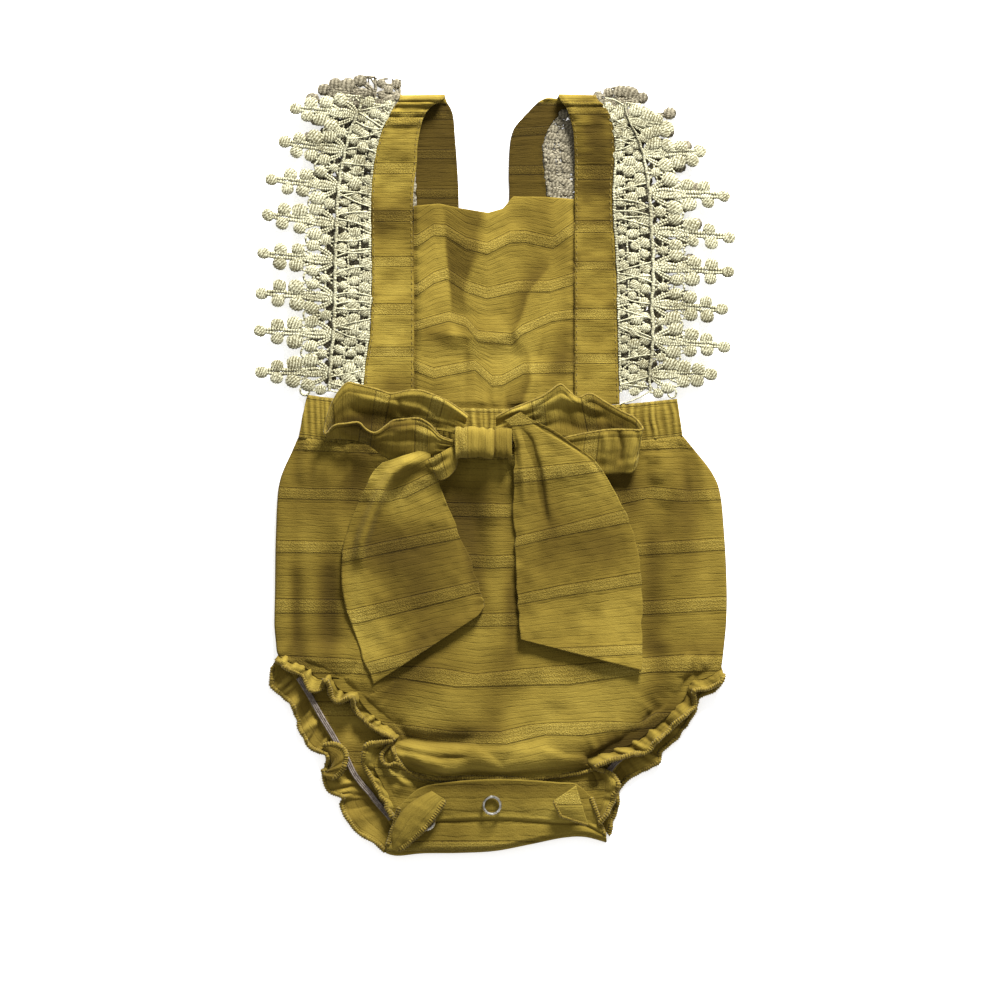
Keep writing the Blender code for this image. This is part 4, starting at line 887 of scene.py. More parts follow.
def front_base(x, y):
    """Height of the CAD front's wrong side without its gathers, and its dome from 0 to 1."""
    left = np.interp(-y, -CAD_FRONT[:, 0, 1], CAD_FRONT[:, 0, 0])
    right = np.interp(-y, -CAD_FRONT[:, 1, 1], CAD_FRONT[:, 1, 0])
    across = np.clip((x - left) / (right - left), 0.0, 1.0)
    dome = np.sqrt(4.0 * across * (1.0 - across))
    edge = np.interp(-y, -BELLY[:, 0], BELLY[:, 1])
    belly = np.interp(-y, -BELLY[:, 0], BELLY[:, 2])
    rise = belly + fold_height(FRONT_FOLDS, x, y)
    return np.maximum(edge + dome * rise, edge * 0.5 + SECOND_LAYER * 0.5), dome


def band_edge(levels, places, u):
    """Point of the waistband's edge, which bends through three levels."""
    bend = 4.0 * u * (1.0 - u)
    x = mix(places[0], places[2], u)
    y = mix(levels[0], levels[2], u) + bend * (levels[1] - (levels[0] + levels[2]) / 2.0)
    return x, y


def waist_line(x):
    """Lower edge of the waistband at x."""
    u = np.clip((x - BAND_BOTTOM_X[0]) / (BAND_BOTTOM_X[2] - BAND_BOTTOM_X[0]), 0.0, 1.0)
    return band_edge(BAND_BOTTOM, BAND_BOTTOM_X, u)[1]


def front_z(x, y):
    """Middle of the front's cloth with every fold that shows."""
    x, y = np.asarray(x, float), np.asarray(y, float)
    base, dome = front_base(x, y)
    below = np.maximum(waist_line(x) - y, 0.0)
    drift = noise(x, y, 14.0, 3) * 2.0
    gathers = 1.1 * noise(x + drift * 0.4, y * 0.10, 2.6, 21) * np.exp(-below / 9.0)
    gathers += 1.1 * noise(x + drift, y * 0.16, 5.5, 22) * np.exp(-below / 26.0)
    gathers *= smooth(0.0, 3.0, below)
    gathers += 0.5 * noise(x, y * 1.3, 1.9, 23) * bell(below - 4.0, 5.0)
    legs = 0.0
    for seed, line in enumerate(FRONT_SEAMS):
        away, _, place = nearest(x, y, line)
        place = place + 0.8 * noise(x, y, 6.0, 35)
        legs = legs + 1.5 * noise(place, away * 0.2, 2.2, 31 + seed) * np.exp(-away / 5.0)
        legs = legs + 1.3 * noise(place, away * 0.12, 5.0, 41 + seed) * np.exp(-away / 13.0)
    puffs = 0.55 * noise(x, y, 17.0, 51) + 0.25 * noise(x, y, 7.0, 52)
    detail = creases(x, y, FRONT_CREASES) + gathers + legs + puffs
    away, side, _ = nearest(x, y, BULGE)
    beyond = np.where(side < 0, away, -away)
    inside = smooth(-52.0, -38.0, x) * (1.0 - smooth(52.0, 62.0, x))
    recess = -3.4 * smooth(-0.5, 2.6, beyond) * (1.0 - smooth(9.0, 16.0, beyond))
    detail += inside * (1.3 * bell(beyond + 3.0, 4.0) + recess) * (y < -120.0)
    detail = np.clip(dome * 3.0, 0.0, 1.0) * detail
    lowest = np.where(y < -92.0, 3.2, 1.6)
    return np.maximum(base + HALF + detail, lowest)


def panel_grid(left_leg, right_leg, rows, columns):
    """Grid over a panel, evenly spaced rows from the waistband to the crotch."""
    sides = curve(SIDE_EDGES, np.linspace(0.0, 0.97, 40))
    left = np.concatenate((sides[:, 0:2], curve(left_leg, share(120))[:, :2]))
    right = np.concatenate((sides[:, 2:4], curve(right_leg, share(120))[:, :2]))
    both = softened(even(np.column_stack((left, right)), rows), 6)
    u = share(columns)[None, :]
    x, y = mix(both[:, 0:1], both[:, 2:3], u), mix(both[:, 1:2], both[:, 3:4], u)
    sag = BAND_BOTTOM[1] - (BAND_BOTTOM[0] + BAND_BOTTOM[2]) / 2.0
    fall = np.maximum(1.0 - (18.0 - y) / 97.0, 0.0)
    return x, y + sag * 4.0 * u * (1.0 - u) * fall


def make_front():
    x, y = panel_grid(FRONT_LEFT_HEM, FRONT_RIGHT_HEM, 196, 190)
    # painted shade and painted light from FRONT_SHADES, and the whole front a little darker
    cloth = weave(x, y, FRONT_BANDS, shades(x, y, FRONT_SHADES) - 0.1)
    z = front_z(x, y) + RAISED * in_band(cloth[:, :, 1])
    piece = sheet("bloomers_front", stack(x, y, z), cloth, COTTON, ["front_panel"])


def back_z(x, y):
    """Middle of the back's cloth: it lies on the table."""
    puff = 0.6 + 0.7 * noise(x, y, 8.0, 61) + 0.3 * noise(x, y, 3.5, 62)
    return HALF + np.clip(puff, 0.0, None) * smooth(-90.0, -100.0, y) * 0.8


def make_back():
    x, y = panel_grid(BACK_LEFT_LEG, BACK_RIGHT_LEG, 90, 76)
    # painted shade and painted light from INSIDE_SHADES, and the whole back a little lighter
    cloth = weave(x, y, FRONT_BANDS, shades(x, y, INSIDE_SHADES) + 0.16)
    cloth[:, :, 1] += 9.0
    points = stack(x, y, back_z(x, y))
    piece = sheet("bloomers_back", points, cloth, COTTON_INSIDE, ["back_panel"])


def make_frill(leg, word, front, seed):
    """Ruffled hem of a leg past its elastic, with the rope of thread along it."""
    rows = even(curve(leg, share(600)), 300)
    run = run_of(rows[:, :2])[:, None]
    out = np.linspace(-0.12, 1.0, 11)[None, :]
    seam_x, seam_y, hem_x, hem_y, hem_z = (rows[:, i : i + 1] for i in range(5))
    start = front_z(seam_x, seam_y) if front else back_z(seam_x, seam_y)
    x, y = mix(seam_x, hem_x, out), mix(seam_y, hem_y, out)
    if front:
        # the seam allowance, 2 mm wide, lies inside the panel
        inward = np.hypot(seam_x - hem_x, seam_y - hem_y)
        x = np.where(out < 0.0, seam_x + 2.0 * (seam_x - hem_x) / inward, x)
        y = np.where(out < 0.0, seam_y + 2.0 * (seam_y - hem_y) / inward, y)
    z = mix(start, hem_z + (0.5 if front else 0.6), np.clip(out, 0.0, 1.0) ** 0.8)
    deep = 0.8 if front and word == "right" else 1.3
    ripple = noise(run, out * 1.6, 2.0, seed) * deep + noise(run, out, 4.6, seed + 1) * 1.5
    calm = 1.0 - 0.6 * smooth(0.78, 0.92, run / run[-1])
    z = z + ripple * calm * np.sin(math.pi * np.clip(out * 0.7 + 0.12, 0, 1)) - 0.5 * (out < 0.0)
    z -= (0.3 if front else 0.9) * bell(out, 0.12) * (z > 1.6)
    z = np.maximum(z, 3.0 if front else HALF)
    wiggle = noise(run, 0.0, 3.0, seed + 2) * 0.6 * out
    x = x + (-wiggle if word == "left" else wiggle)
    # painted shade where the frill leaves the seam, painted light on its ripples and painted shade in
    # their troughs, and the right front frill darker
    dim = (-0.2 if front else -0.15) * bell(out, 0.3) + (0.12 if front else 0.1) * ripple
    dim = dim - (0.14 if front and word == "right" else 0.0)
    cloth = stack(run * 1.4, out * 9.0 + 3.0, dim)
    layer, material = ("front", COTTON) if front else ("back", COTTON_INSIDE)
    name = f"frill_{layer}_{word}"
    piece = sheet(name, stack(x, y, z), cloth, material, [f"leg_{name}"])
    edge = stack(x[:, -1], y[:, -1], z[:, -1] + 0.15)
    hem = roped(f"hem_{layer}_{word}", (edge, 1.2, seed))


def make_elastics():
    for side, leg in enumerate((BACK_LEFT_LEG, BACK_RIGHT_LEG)):
        inset = -ELASTIC_INSET if side else ELASTIC_INSET
        line = curve(leg, np.linspace(0.1, 0.9, 200))[:, :2]
        path = np.column_stack((line[:, 0] + inset, line[:, 1], np.full(200, 2.75)))
        way = np.gradient(path[:, :2], axis=0)
        way /= np.linalg.norm(way, axis=1, keepdims=True)
        strands = Bundle()
        for across in (-0.85, 0.0, 0.85):
            strand = path.copy()
            strand[:, 0] += way[:, 1] * across
            strand[:, 1] -= way[:, 0] * across
            strands.add(*tube(strand, 0.55, 6, 1.6))
        name = "leg_elastic_" + ("right" if side else "left")
        strands.piece(f"elastic_{side}", ELASTIC, "leg_elastic", [name])


# ---------------------------------------------------------------- waistband


def make_waistband():
    u, v = share(470)[None, :], share(16)[:, None]
    low_x, low_y = band_edge(BAND_BOTTOM, BAND_BOTTOM_X, u)
    high_x, high_y = band_edge(BAND_TOP, BAND_TOP_X, u)
    x = mix(low_x, high_x, v)
    y = mix(low_y - 0.9, high_y - 0.1, v)
    places = np.cumsum(np.random.default_rng(5).uniform(2.1, 4.2, 80)) - 100.0
    heights = np.random.default_rng(6).uniform(0.45, 1.25, 80)
    slant = x + 1.2 * noise(x, y, 9.0, 81) + (v - 0.5) * 0.8
    ridge = np.zeros_like(x)
    for place, height in zip(places, heights):
        ridge = np.maximum(ridge, height * bell(slant - place, 0.95))
    base = BAND_END_Z + BAND_RISE * np.sin(math.pi * u) + HALF
    swell = np.sin(math.pi * (0.12 + 0.76 * v))
    z = base + 0.2 + swell * (0.25 + 1.25 * ridge) + 0.25 * noise(x, y, 6.0, 82)
    t = 25.4 + 26.6 * (1.0 - v)
    # painted shade between the gathers' ridges, the band a little lighter overall, and tone that
    # differs at random
    tone = -0.3 * (1.0 - np.clip(ridge, 0.0, 1.0)) + 0.1 + 0.1 * noise(x, y, 12.0, 83)
    cloth = stack(x * 1.6, t, tone)
    piece = sheet("waistband", stack(x, y, z), cloth, COTTON, ["waistband_front"])
    points, cloth = stack(x, y, 0.85)[:, ::4], stack(x * 1.6, t, 0.0)[:, ::4]
    back = sheet("waistband_behind", points, cloth, COTTON_INSIDE, ["waistband_back"], wall=1.6)


# ---------------------------------------------------------------- bib and straps

# steepness of the bib to the right, from -1 to 1, at places along rows of the photograph
BIB_RELIEF = (
    (205, (415, 0), (430, 0), (442, 0), (446, 0.2), (474, 0.6), (486, 0), (505, -0.1), (528, 0.25),
        (545, 0.25), (555, 0), (568, 0.1), (574, 0.1)),
    (218, (415, 0), (430, -0.1), (443, -0.1), (447, 0.4), (480, 0.9), (488, 0), (505, -0.1), (528, 0.3),
        (546, 0.25), (556, 0), (568, 0.1), (574, 0.2)),
    (232, (415, 0), (430, -0.2), (443, -0.2), (447, 0.5), (474, 0.7), (486, 0), (505, -0.1), (530, 0.1),
        (548, 0.1), (556, 0), (568, 0.1), (574, 0.2)),
    (248, (415, 0), (430, -0.4), (444, -0.5), (447, 0.95), (476, 0.8), (485, 0.05), (498, -0.2),
        (520, -0.05), (548, 0.05), (553, 0.15), (568, 0.5), (574, 0.5)),
    (268, (415, -0.1), (430, -0.4), (446, -0.5), (449, 1), (469, 0.9), (474, -0.1), (490, -0.3),
        (516, -0.1), (546, 0.35), (551, 0), (566, 0.25), (574, 0.6)),
    (292, (415, 0), (430, -0.2), (449, -0.25), (452, 0.8), (462, 0.75), (467, 0), (486, -0.15),
        (508, 0.1), (527, 0.7), (532, -0.35), (553, -0.25), (574, 0.35)),
    (312, (415, -0.1), (430, -0.35), (450, -0.1), (453, 0.3), (464, 0.3), (470, 0), (484, -0.1),
        (508, 0.2), (522, 0.8), (527, -0.4), (550, -0.3), (574, 0.5)),
    (333, (415, 0.15), (430, 0.55), (446, 0.45), (454, -0.1), (466, 0.2), (474, 0), (486, -0.05),
        (506, 0.15), (513, 0.7), (518, -0.3), (540, -0.2), (574, 0.3)),
    (356, (415, 0), (430, -0.35), (450, -0.35), (462, -0.1), (468, 0.4), (474, -0.1), (486, -0.15),
        (510, 0), (522, 0.3), (528, 0.5), (533, -0.2), (574, 0.3)),
    (380, (415, 0.05), (430, 0.1), (450, 0), (462, 0), (468, 0.2), (476, 0), (486, 0), (506, 0),
        (516, 0.6), (529, 1), (534, -0.3), (574, -0.1)),
    (405, (415, 0.2), (430, 0.2), (450, 0.1), (462, 0.1), (468, 0.2), (476, 0.1), (486, 0.1),
        (503, 0.1), (508, 0.6), (520, 0.9), (526, -0.2), (574, 0)),
)
BIB_SHADES = (
    (424, 217, 26, 16, 0, -0.4), (540, 230, 22, 40, 0, -0.24), (536, 278, 20, 20, 0, -0.24),
    (514, 348, 20, 20, 0, 0.4), (470, 347, 16, 8, 0, 0.4), (518, 374, 12, 18, 0, 0.4),
    (477, 332, 22, 12, 0, -0.24), (560, 368, 18, 30, 0, -0.4), (565, 333, 14, 11, 0, -0.18),
    (556, 368, 24, 9, 45, -0.2), (541, 347, 3, 12, -10, -0.2), (437, 338, 20, 9, -20, -0.12),
    (466, 346, 5, 18, 20, -0.1), (425, 392, 40, 12, 0, -0.12), (490, 405, 80, 9, 0, -0.1),
)
BIB_BANDS = (
    (21.5, ((417.5, 235), (433.5, 224), (446, 224.6), (466, 237.6), (487, 243), (510, 231.5),
        (525.5, 230.8), (553, 237), (574.5, 221.6))),
    (28, ((417.5, 247), (433.5, 236), (446, 236.6), (466, 249.6), (487, 255), (510, 243.5),
        (525.5, 242.8), (553, 249), (574.5, 233.6))),
    (49.5, ((417, 284), (433.6, 272), (447, 267.5), (466, 280.5), (487, 287.4), (518, 280.5),
        (549, 280.5), (574, 273))),
    (56, ((417, 296), (433.6, 284), (447, 279.5), (466, 292.5), (487, 299.4), (518, 292.5),
        (549, 292.5), (574, 285))),
    (77.5, ((417, 321), (426, 318), (449, 311.6), (466, 317), (478, 331), (512, 334), (522, 325),
        (551.5, 312), (574, 309))),
    (84, ((417, 331), (426, 328), (449, 321.6), (466, 327), (478, 342), (512, 345), (522, 335),
        (551.5, 322), (574, 319))),
    (105.5, ((413.7, 360), (433.6, 368), (475, 360), (492, 375.7), (502.5, 375), (524, 363.5),
        (574, 362))),
    (112, ((413.7, 371), (433.6, 379), (475, 370.6), (492, 386.7), (502.5, 386), (524, 374.5),
        (574, 373))),
    (133.5, ((413.7, 412), (574, 412))),
)


def band_top_y(x):
    u = (x - BAND_TOP_X[0]) / (BAND_TOP_X[2] - BAND_TOP_X[0])
    return band_edge(BAND_TOP, BAND_TOP_X, u)[1]


def steepness(x, y, rows):
    """How steeply cloth rises to the right, from its table for a few rows."""
    across, down = ORIGIN_PIXEL[0] + x / PIXEL, ORIGIN_PIXEL[1] - y / PIXEL
    levels = [row[0] for row in rows]
    knots = np.array([row[1:] for row in rows])
    count = knots.shape[1]
    places = [np.interp(down, levels, knots[:, k, 0]) for k in range(count)]
    values = [np.interp(down, levels, knots[:, k, 1]) for k in range(count)]
    steep = values[0]
    for k in range(1, count):
        part = np.clip((across - places[k - 1]) / (places[k] - places[k - 1]), 0.0, 1.0)
        steep = np.where(across > places[k - 1], mix(values[k - 1], values[k], part), steep)
    return steep


def bib_z(x, y, steep):
    away = np.minimum(np.minimum(x - BIB_SIDE[0], BIB_SIDE[1] - x), BIB_EDGE)
    edge = np.clip(away / BIB_EDGE, 0.0, 1.0)
    low = np.clip((y - band_top_y(x)) / BIB_EDGE, 0.0, 1.0)
    flat = mix(BIB_SEAM_Z, SECOND_LAYER, low)
    gathers = 0.7 * noise(x, y * 0.1, 2.8, 91) * np.exp(-np.maximum(y - band_top_y(x), 0) / 9.0)
    own = np.cumsum(np.where(steep > 0.0, 0.36, 0.2) * steep, axis=1) * (x[0, 1] - x[0, 0])
    own = own - own[:, -1:] * share(x.shape[1]) + 1.0
    own = own + 0.3 * noise(x, y, 9.0, 92) + 0.12 * noise(x, y, 3.6, 93)
    seams = 0.35 * noise(x * 0.25, y, 2.4, 94) * bell(away, 3.5)
    rise = (own * np.clip(edge * 2.4, 0.0, 1.0) + gathers + seams) * smooth(0.0, 0.5, low)
    return np.maximum(flat + rise, flat * 0.7) + HALF


def make_bib():
    u, v = share(112)[None, :], share(128)[:, None]
    x = mix(BIB_SIDE[0] - 0.7, BIB_SIDE[1] + 0.7, u) + 0.0 * v
    y = mix(band_top_y(x) - 0.9, np.interp(x, BIB_TOP_X, BIB_TOP_Y), v)
    steep = steepness(x, y, BIB_RELIEF)
    # painted shade where the cloth rises to the right, away from the light, painted light where it
    # falls, and painted shade and light from BIB_SHADES
    tone = shades(x, y, BIB_SHADES) - np.where(steep > 0.0, 0.62, 0.26) * steep - 0.02
    cloth = weave(x, y, BIB_BANDS, tone)
    # both sides are tucked under the straps, with painted shade where they go under
    tuck = np.minimum(x - BIB_SIDE[0], BIB_SIDE[1] - x)
    z = bib_z(x, y, steep) + RAISED * in_band(cloth[:, :, 1]) - 0.5 * bell(tuck, 0.9)
    cloth[:, :, 2] -= 0.22 * bell(tuck, 0.8)
    piece = sheet("bib", stack(x, y, z), cloth, COTTON, ["bib_front"])


# rows of the photograph where a raised band of a strap ends
LEFT_STRAP_BANDS = (126, 174, 222, 267, 315, 357)
RIGHT_STRAP_BANDS = (115, 180, 233, 270, 320, 364)
LEFT_STRAP_SHADES = (
    (394, 218, 50, 22, 0, -0.7), (399, 120, 24, 5, 0, -0.24), (386, 170, 26, 6, 0, -0.2),
    (390, 186, 30, 12, 0, 0.14), (392, 200, 30, 8, 0, 0.06), (393, 262, 24, 5, 0, -0.16),
    (395, 305, 24, 7, 0, -0.2), (393, 285, 26, 14, 0, 0.1), (392, 352, 24, 5, 0, -0.18),
    (394, 334, 34, 18, 0, 0.3), (394, 362, 34, 10, 0, 0.3), (378, 150, 16, 50, 0, 0.2),
    (396, 388, 34, 12, 0, -0.4),
)
RIGHT_STRAP_SHADES = (
    (600, 150, 30, 66, 0, -0.66), (595, 260, 30, 130, 0, -0.1), (592, 172, 24, 22, 0, -0.16),
    (612, 290, 9, 70, 0, -0.16), (590, 240, 24, 50, 0, -0.08), (594, 222, 26, 5, 0, -0.16),
    (594, 262, 26, 5, 0, -0.16), (594, 304, 26, 5, 0, -0.18), (594, 284, 26, 12, 0, 0.12),
    (594, 350, 26, 5, 0, -0.16), (595, 372, 24, 16, 0, 0.1),
)
STRAPS = {
    "left": (np.array(LEFT_STRAP_FRONT), np.array(LEFT_STRAP_BACK)),
    "right": (np.array(RIGHT_STRAP_FRONT), np.array(RIGHT_STRAP_BACK)),
}
SHOULDER_CENTRE = BACK_TOP + SHOULDER_RADIUS
SHOULDER_REACH = SHOULDER_RADIUS + HALF


def strap_rows(side):
    """Both edges and the height of a strap, up its front, over the shoulder and down."""
    front, back = STRAPS[side]
    left = np.minimum(front[:, 1], front[:, 2])
    right = np.maximum(front[:, 1], front[:, 2])
    rows = np.column_stack((left, front[:, 0], right, front[:, 0], front[:, 3] + HALF))
    rows[0, 1], rows[0, 3] = band_top_y(left[0]) + 0.1, band_top_y(right[0]) + 0.1
    rows = curve(rows, share(170))
    over = []
    x0, y0, x1, y1 = back[0]
    for angle in np.linspace(math.pi / 2.0, -math.pi / 2.0, 13):
        step = SHOULDER_REACH * math.cos(angle) - SHOULDER_RADIUS - CLOTH
        height = SHOULDER_CENTRE + SHOULDER_REACH * math.sin(angle)
        over.append((x0, y0 + step, x1, y1 + step, height))
    behind = np.column_stack((back[1:], np.full(len(back) - 1, HALF)))
    behind = curve(np.vstack((over[-1], behind)), share(170)[1:])
    rows = even(np.vstack((rows, over, behind)), 290)
    rows[120:190, 0:4] = softened(rows, 5)[120:190, 0:4]
    return rows


def make_strap(side, bands, dark, seed):
    rows = strap_rows(side)
    u = share(26)[None, :]
    x, y = mix(rows[:, 0:1], rows[:, 2:3], u), mix(rows[:, 1:2], rows[:, 3:4], u)
    z = rows[:, 4:5] + 0.0 * u
    run = run_of(rows)[:, None]
    width = np.linalg.norm(rows[:, 0:2] - rows[:, 2:4], axis=1)[:, None]
    edge = np.minimum(u, 1.0 - u) * width
    # stitched near both edges, with the cloth puckered between
    is_front = 1.0 - smooth(138.0, 168.0, np.arange(len(rows)))[:, None]
    pucker = 0.8 * noise(run, edge * 0.22, 1.9, seed) * bell(edge - 2.2, 2.6)
    pucker = pucker + 0.85 * noise(run, edge * 0.1, 2.8, seed + 7)
    puff = 0.35 * smooth(0.0, 2.6, edge) + 0.22 * noise(x, y, 6.0, seed + 1) * smooth(0.0, 3.0, edge)
    groove = -0.3 * bell(edge - SEWN_IN, 0.45)
    up = np.where(z > SHOULDER_CENTRE, 1.0, -1.0)
    shift = (pucker + puff + groove) * mix(0.35, 1.0, is_front)
    z = np.maximum(z + up * shift * (np.abs(z - SHOULDER_CENTRE) > 2.0), 0.45)
    t = cloth_t(x, y, [(PERIOD * (i + 1), ((0, row),)) for i, row in enumerate(bands)])
    t = np.where(is_front > 0.5, t, run + 6.0)
    # painted shade and painted light from the strap's table, tone that differs at random, and painted
    # shade in patches by the puckered edges
    dim = shades(x, y, dark) + 0.2 * noise(x * 0.4, y, 2.6, seed + 2)
    dim = dim + 0.12 * noise(x, y, 8.0, seed + 3) - 0.03
    dim = dim - 0.2 * bell(edge - 2.0, 1.2) * np.clip(noise(run, 0.0, 1.8, seed + 4), 0.0, 1.0)
    # painted shade on the part behind the shoulder, along the inner edge where the strap lies on the
    # bib, and in the stitched grooves
    behind_dim = mix(-0.78, -0.98, smooth(138.0, 176.0, y)) + 0.08 * noise(x, y, 7.0, seed + 5)
    inner = (1.0 - u if side == "left" else u) * width
    dim = np.where(is_front > 0.5, dim - 0.35 * bell(inner, 0.45) * (y < 134.0), behind_dim)
    cloth = stack(x + 40.0, t, dim - 0.16 * bell(edge - SEWN_IN, 0.4))
    swell = np.sin(math.pi * np.clip(np.mod(t + PHASE, PERIOD) / (PERIOD - BAND), 0.0, 1.0))
    z = z + (0.25 * in_band(t) + 0.8 * swell * smooth(0.0, 5.0, edge)) * up * is_front
    piece = sheet(f"strap_{side}_cloth", stack(x, y, z), cloth, COTTON, [f"strap_{side}"])
    sewn = Bundle()
    inset = SEWN_IN / width[:, 0]
    for part, column in ((inset, 1), (1.0 - inset, -2)):
        across = mix(rows[:, 0], rows[:, 2], part)
        line = stack(across, mix(rows[:, 1], rows[:, 3], part), z[:, column] + 0.38)
        stitches(sewn, line[:146])
    threads = sewn.piece(f"strap_{side}_stitches", SEWING)


# ---------------------------------------------------------------- lace

LACE_WIDTH = 60.0
SCALE = 0.96  # from the photograph's finger to the CAD's 60 mm
HALF_PITCH = 9.8
SPINE = 19.2  # from the strap to the spine

# strands of one finger: points (out, along) and radius
LACE_STRANDS = (
    (((1, -9.8), (1.2, -5), (0.9, 0), (1.2, 5), (1, 9.8)), 0.8),
    (((6.4, 9.8), (6.6, 5), (6.4, 0), (6.6, -5), (6.4, -9.8)), 0.5),
    (((12.6, 9.8), (12.2, 5), (12.6, 0), (12.2, -5), (12.6, -9.8)), 0.5),
    (((20.4, 0), (28, 0), (38, 0)), 0.85),
)
# strands that have a mirror image across the finger's middle
LACE_PAIRS = (
    # ground beside the strap
    (((0.6, 3.4), (6, 1.6), (12, 2.4), (19, 0.6)), 0.62),
    (((3.2, 3), (9, 6.6), (15, 3.6)), 0.55),
    (((3.4, 6.6), (9.6, 6.4), (14.6, 6.8), (19.2, 8.2)), 0.55),
    (((9.8, 9.8), (14, 8.8), (19.2, 5.6)), 0.55),
    # leaf along the finger
    (((20, 0.5), (24, 1.5), (29, 1.9), (34, 1.3), (39, 0.5)), 0.95),
    (((20, 1.6), (23.5, 4.4), (27, 6), (30.4, 7)), 0.75),
    (((20.2, 0.8), (24, 3.2), (27.8, 5), (31.2, 5.9)), 0.75),
    (((31, 2), (34, 3.4), (38, 4.6)), 0.7),
    (((32.5, 6.6), (35.4, 6.6), (38.6, 5.6)), 0.65),
    (((36, 1.2), (43, 0.9), (48, 1.2), (52, 0.9), (56, 0.5)), 1.15),
    (((43.4, 0), (45.8, 2.2), (48, 3.6)), 0.65),
    (((33.5, 0.6), (36.2, 2.8), (39, 4.4)), 0.6),
    # star between two fingers
    (((24, 9.8), (21.6, 8), (19.6, 6)), 0.55),
    (((24, 9.8), (26.6, 8.4), (28.4, 7)), 0.5),
    (((24, 9.8), (24.4, 7.4), (24.6, 4.6)), 0.5),
    (((19.2, 9.8), (24, 9.8), (29, 9.8)), 0.55),
)
# the smooth spine along the strap
LACE_SPINE = ((19.2, -9.8), (19.6, -7), (19, -3.5), (19.6, 0), (19, 3.5), (19.5, 7), (19.2, 9.8))
# knobs of one finger: out, along, half length, half width
LACE_KNOBS = (
    (3.3, 0, 2.7, 2.5), (3.5, 6.5, 2.6, 2.3), (3.5, -6.5, 2.4, 2.5), (9.4, 3.3, 3.2, 2.6),
    (9.4, -3.3, 2.8, 2.9), (9.6, 9.8, 2.8, 2.5), (15.4, 0.2, 2.6, 2.3), (15.2, 6.6, 3, 2.4),
    (15.2, -6.6, 2.7, 2.8), (24.4, 9.8, 2.7, 2.5), (26.4, 0, 3.6, 2.2), (33, 0, 3.2, 2.4),
    (31, 6.6, 3.9, 3.4), (31, -6.6, 3.9, 3.4), (39.6, 4.4, 3.8, 3.5), (39.6, -4.4, 3.8, 3.5),
    (48.6, 3.5, 3.5, 3.3), (48.6, -3.5, 3.5, 3.3), (57.4, 0, 3.5, 3.2),
)
# rings between two fingers: out, along, radius
LACE_RINGS = ((33, 9.8, 2.6),)


def lace_finger(fine):
    """One repeat of the lace: points (out, along, up), faces, painted light and shade of each point,
    and knobs.
    """
    finger = Bundle()
    step, sides, thick = (0.66, 5, 1.0) if fine else (1.4, 4, 1.3)

    def strand(points, radius, level=0.85, knobbly=1.0):
        path = curve(points, share(40))
        count = max(int(run_of(path)[-1] / step), 3)
        wave = knobbly * np.cos(math.pi * np.arange(count))
        path = np.column_stack((even(path, count), np.full(count, level)))
        tube_points, faces = tube(path, radius * thick * (1.0 + 0.16 * wave), sides, 0.8 / thick)
        # painted light on the thicker beads of a strand and painted shade in the thinner places between
        finger.add(tube_points, faces, np.repeat(0.5 + 0.5 * wave, sides))

    for points, radius in LACE_STRANDS:
        strand(points, radius)
    for points, radius in LACE_PAIRS:
        strand(points, radius)
        strand([(out, -along) for out, along in points], radius)
    strand(LACE_SPINE, 0.95, 1.75 if fine else 0.85, 0.4)
    for out, along, radius in LACE_RINGS:
        turns = np.linspace(0.0, 2.0 * math.pi, 17)
        ring = np.column_stack((out + radius * np.cos(turns), along + radius * np.sin(turns)))
        strand(ring, 0.65)
    rings, around = (11, 10) if fine else (7, 6)
    place = np.linspace(-0.975, 0.975, rings)
    profile = np.sqrt(1.0 - place**2) ** 0.75
    wave = -np.cos(math.pi * np.arange(rings))
    checks = np.outer(wave, np.cos(math.pi * np.arange(around))).ravel()
    knobs = []
    for out, along, long, wide in LACE_KNOBS:
        path = np.column_stack((long * place, np.zeros(rings), np.full(rings, 1.0)))
        knob, faces = tube(path, wide * profile * (1.0 + 0.06 * wave), around, 0.24)
        knobs.append((np.array((out, along)), knob, faces, 0.45 + 0.45 * checks))
    return np.concatenate(finger.points), finger.faces, np.concatenate(finger.cloth)[:, 0], knobs


def strap_outer(side, stretch, y):
    """Place and height of the strap's outer edge at y."""
    front, back = STRAPS[side]
    if stretch == "front":
        return np.interp(y, front[:, 0], front[:, 1]), np.interp(y, front[:, 0], front[:, 3])
    corner = 0 if side == "left" else 2
    levels = back[:, corner + 1].copy()
    levels[0] -= SHOULDER_RADIUS + CLOTH
    return np.interp(-y, -levels, back[:, corner]), np.zeros(np.shape(y))


def lace_place(side, stretch, rows, points):
    """Points (out, along in fingers, up) of the flat lace laid beside the strap."""
    rows = np.array(rows)
    last = len(rows) - 1
    out, along, up = points[:, 0] * SCALE / LACE_WIDTH, points[:, 1], points[:, 2]
    inner = np.clip(along, 0.0, last)
    levels = np.arange(len(rows))
    root_y, tip_x, tip_y, lift = (np.interp(inner, levels, rows[:, column]) for column in range(4))
    beyond = (along - inner) * (rows[0, 0] - rows[-1, 0]) / last
    root_y, tip_y = root_y - beyond, tip_y - beyond
    edge_x, edge_z = strap_outer(side, stretch, root_y)
    seam = 0.2 if stretch == "front" else 0.5  # how far the lace reaches under the strap
    root_x = edge_x + (seam if side == "left" else -seam)
    x, y = mix(root_x, tip_x, out), mix(root_y, tip_y, out)
    low, wave = 0.0, 0.0
    if stretch == "front":
        low, wave = SECOND_LAYER, 0.25 * (1.0 - np.cos(2.0 * math.pi * along)) * out
        wave += 0.3 * (1.0 + noise(x, y, 11.0, 121 if side == "left" else 131))
    z = mix(np.maximum(edge_z, low), low + lift, np.clip(out, 0.0, None) ** 0.5)
    return stack(x, y, z + wave + up)


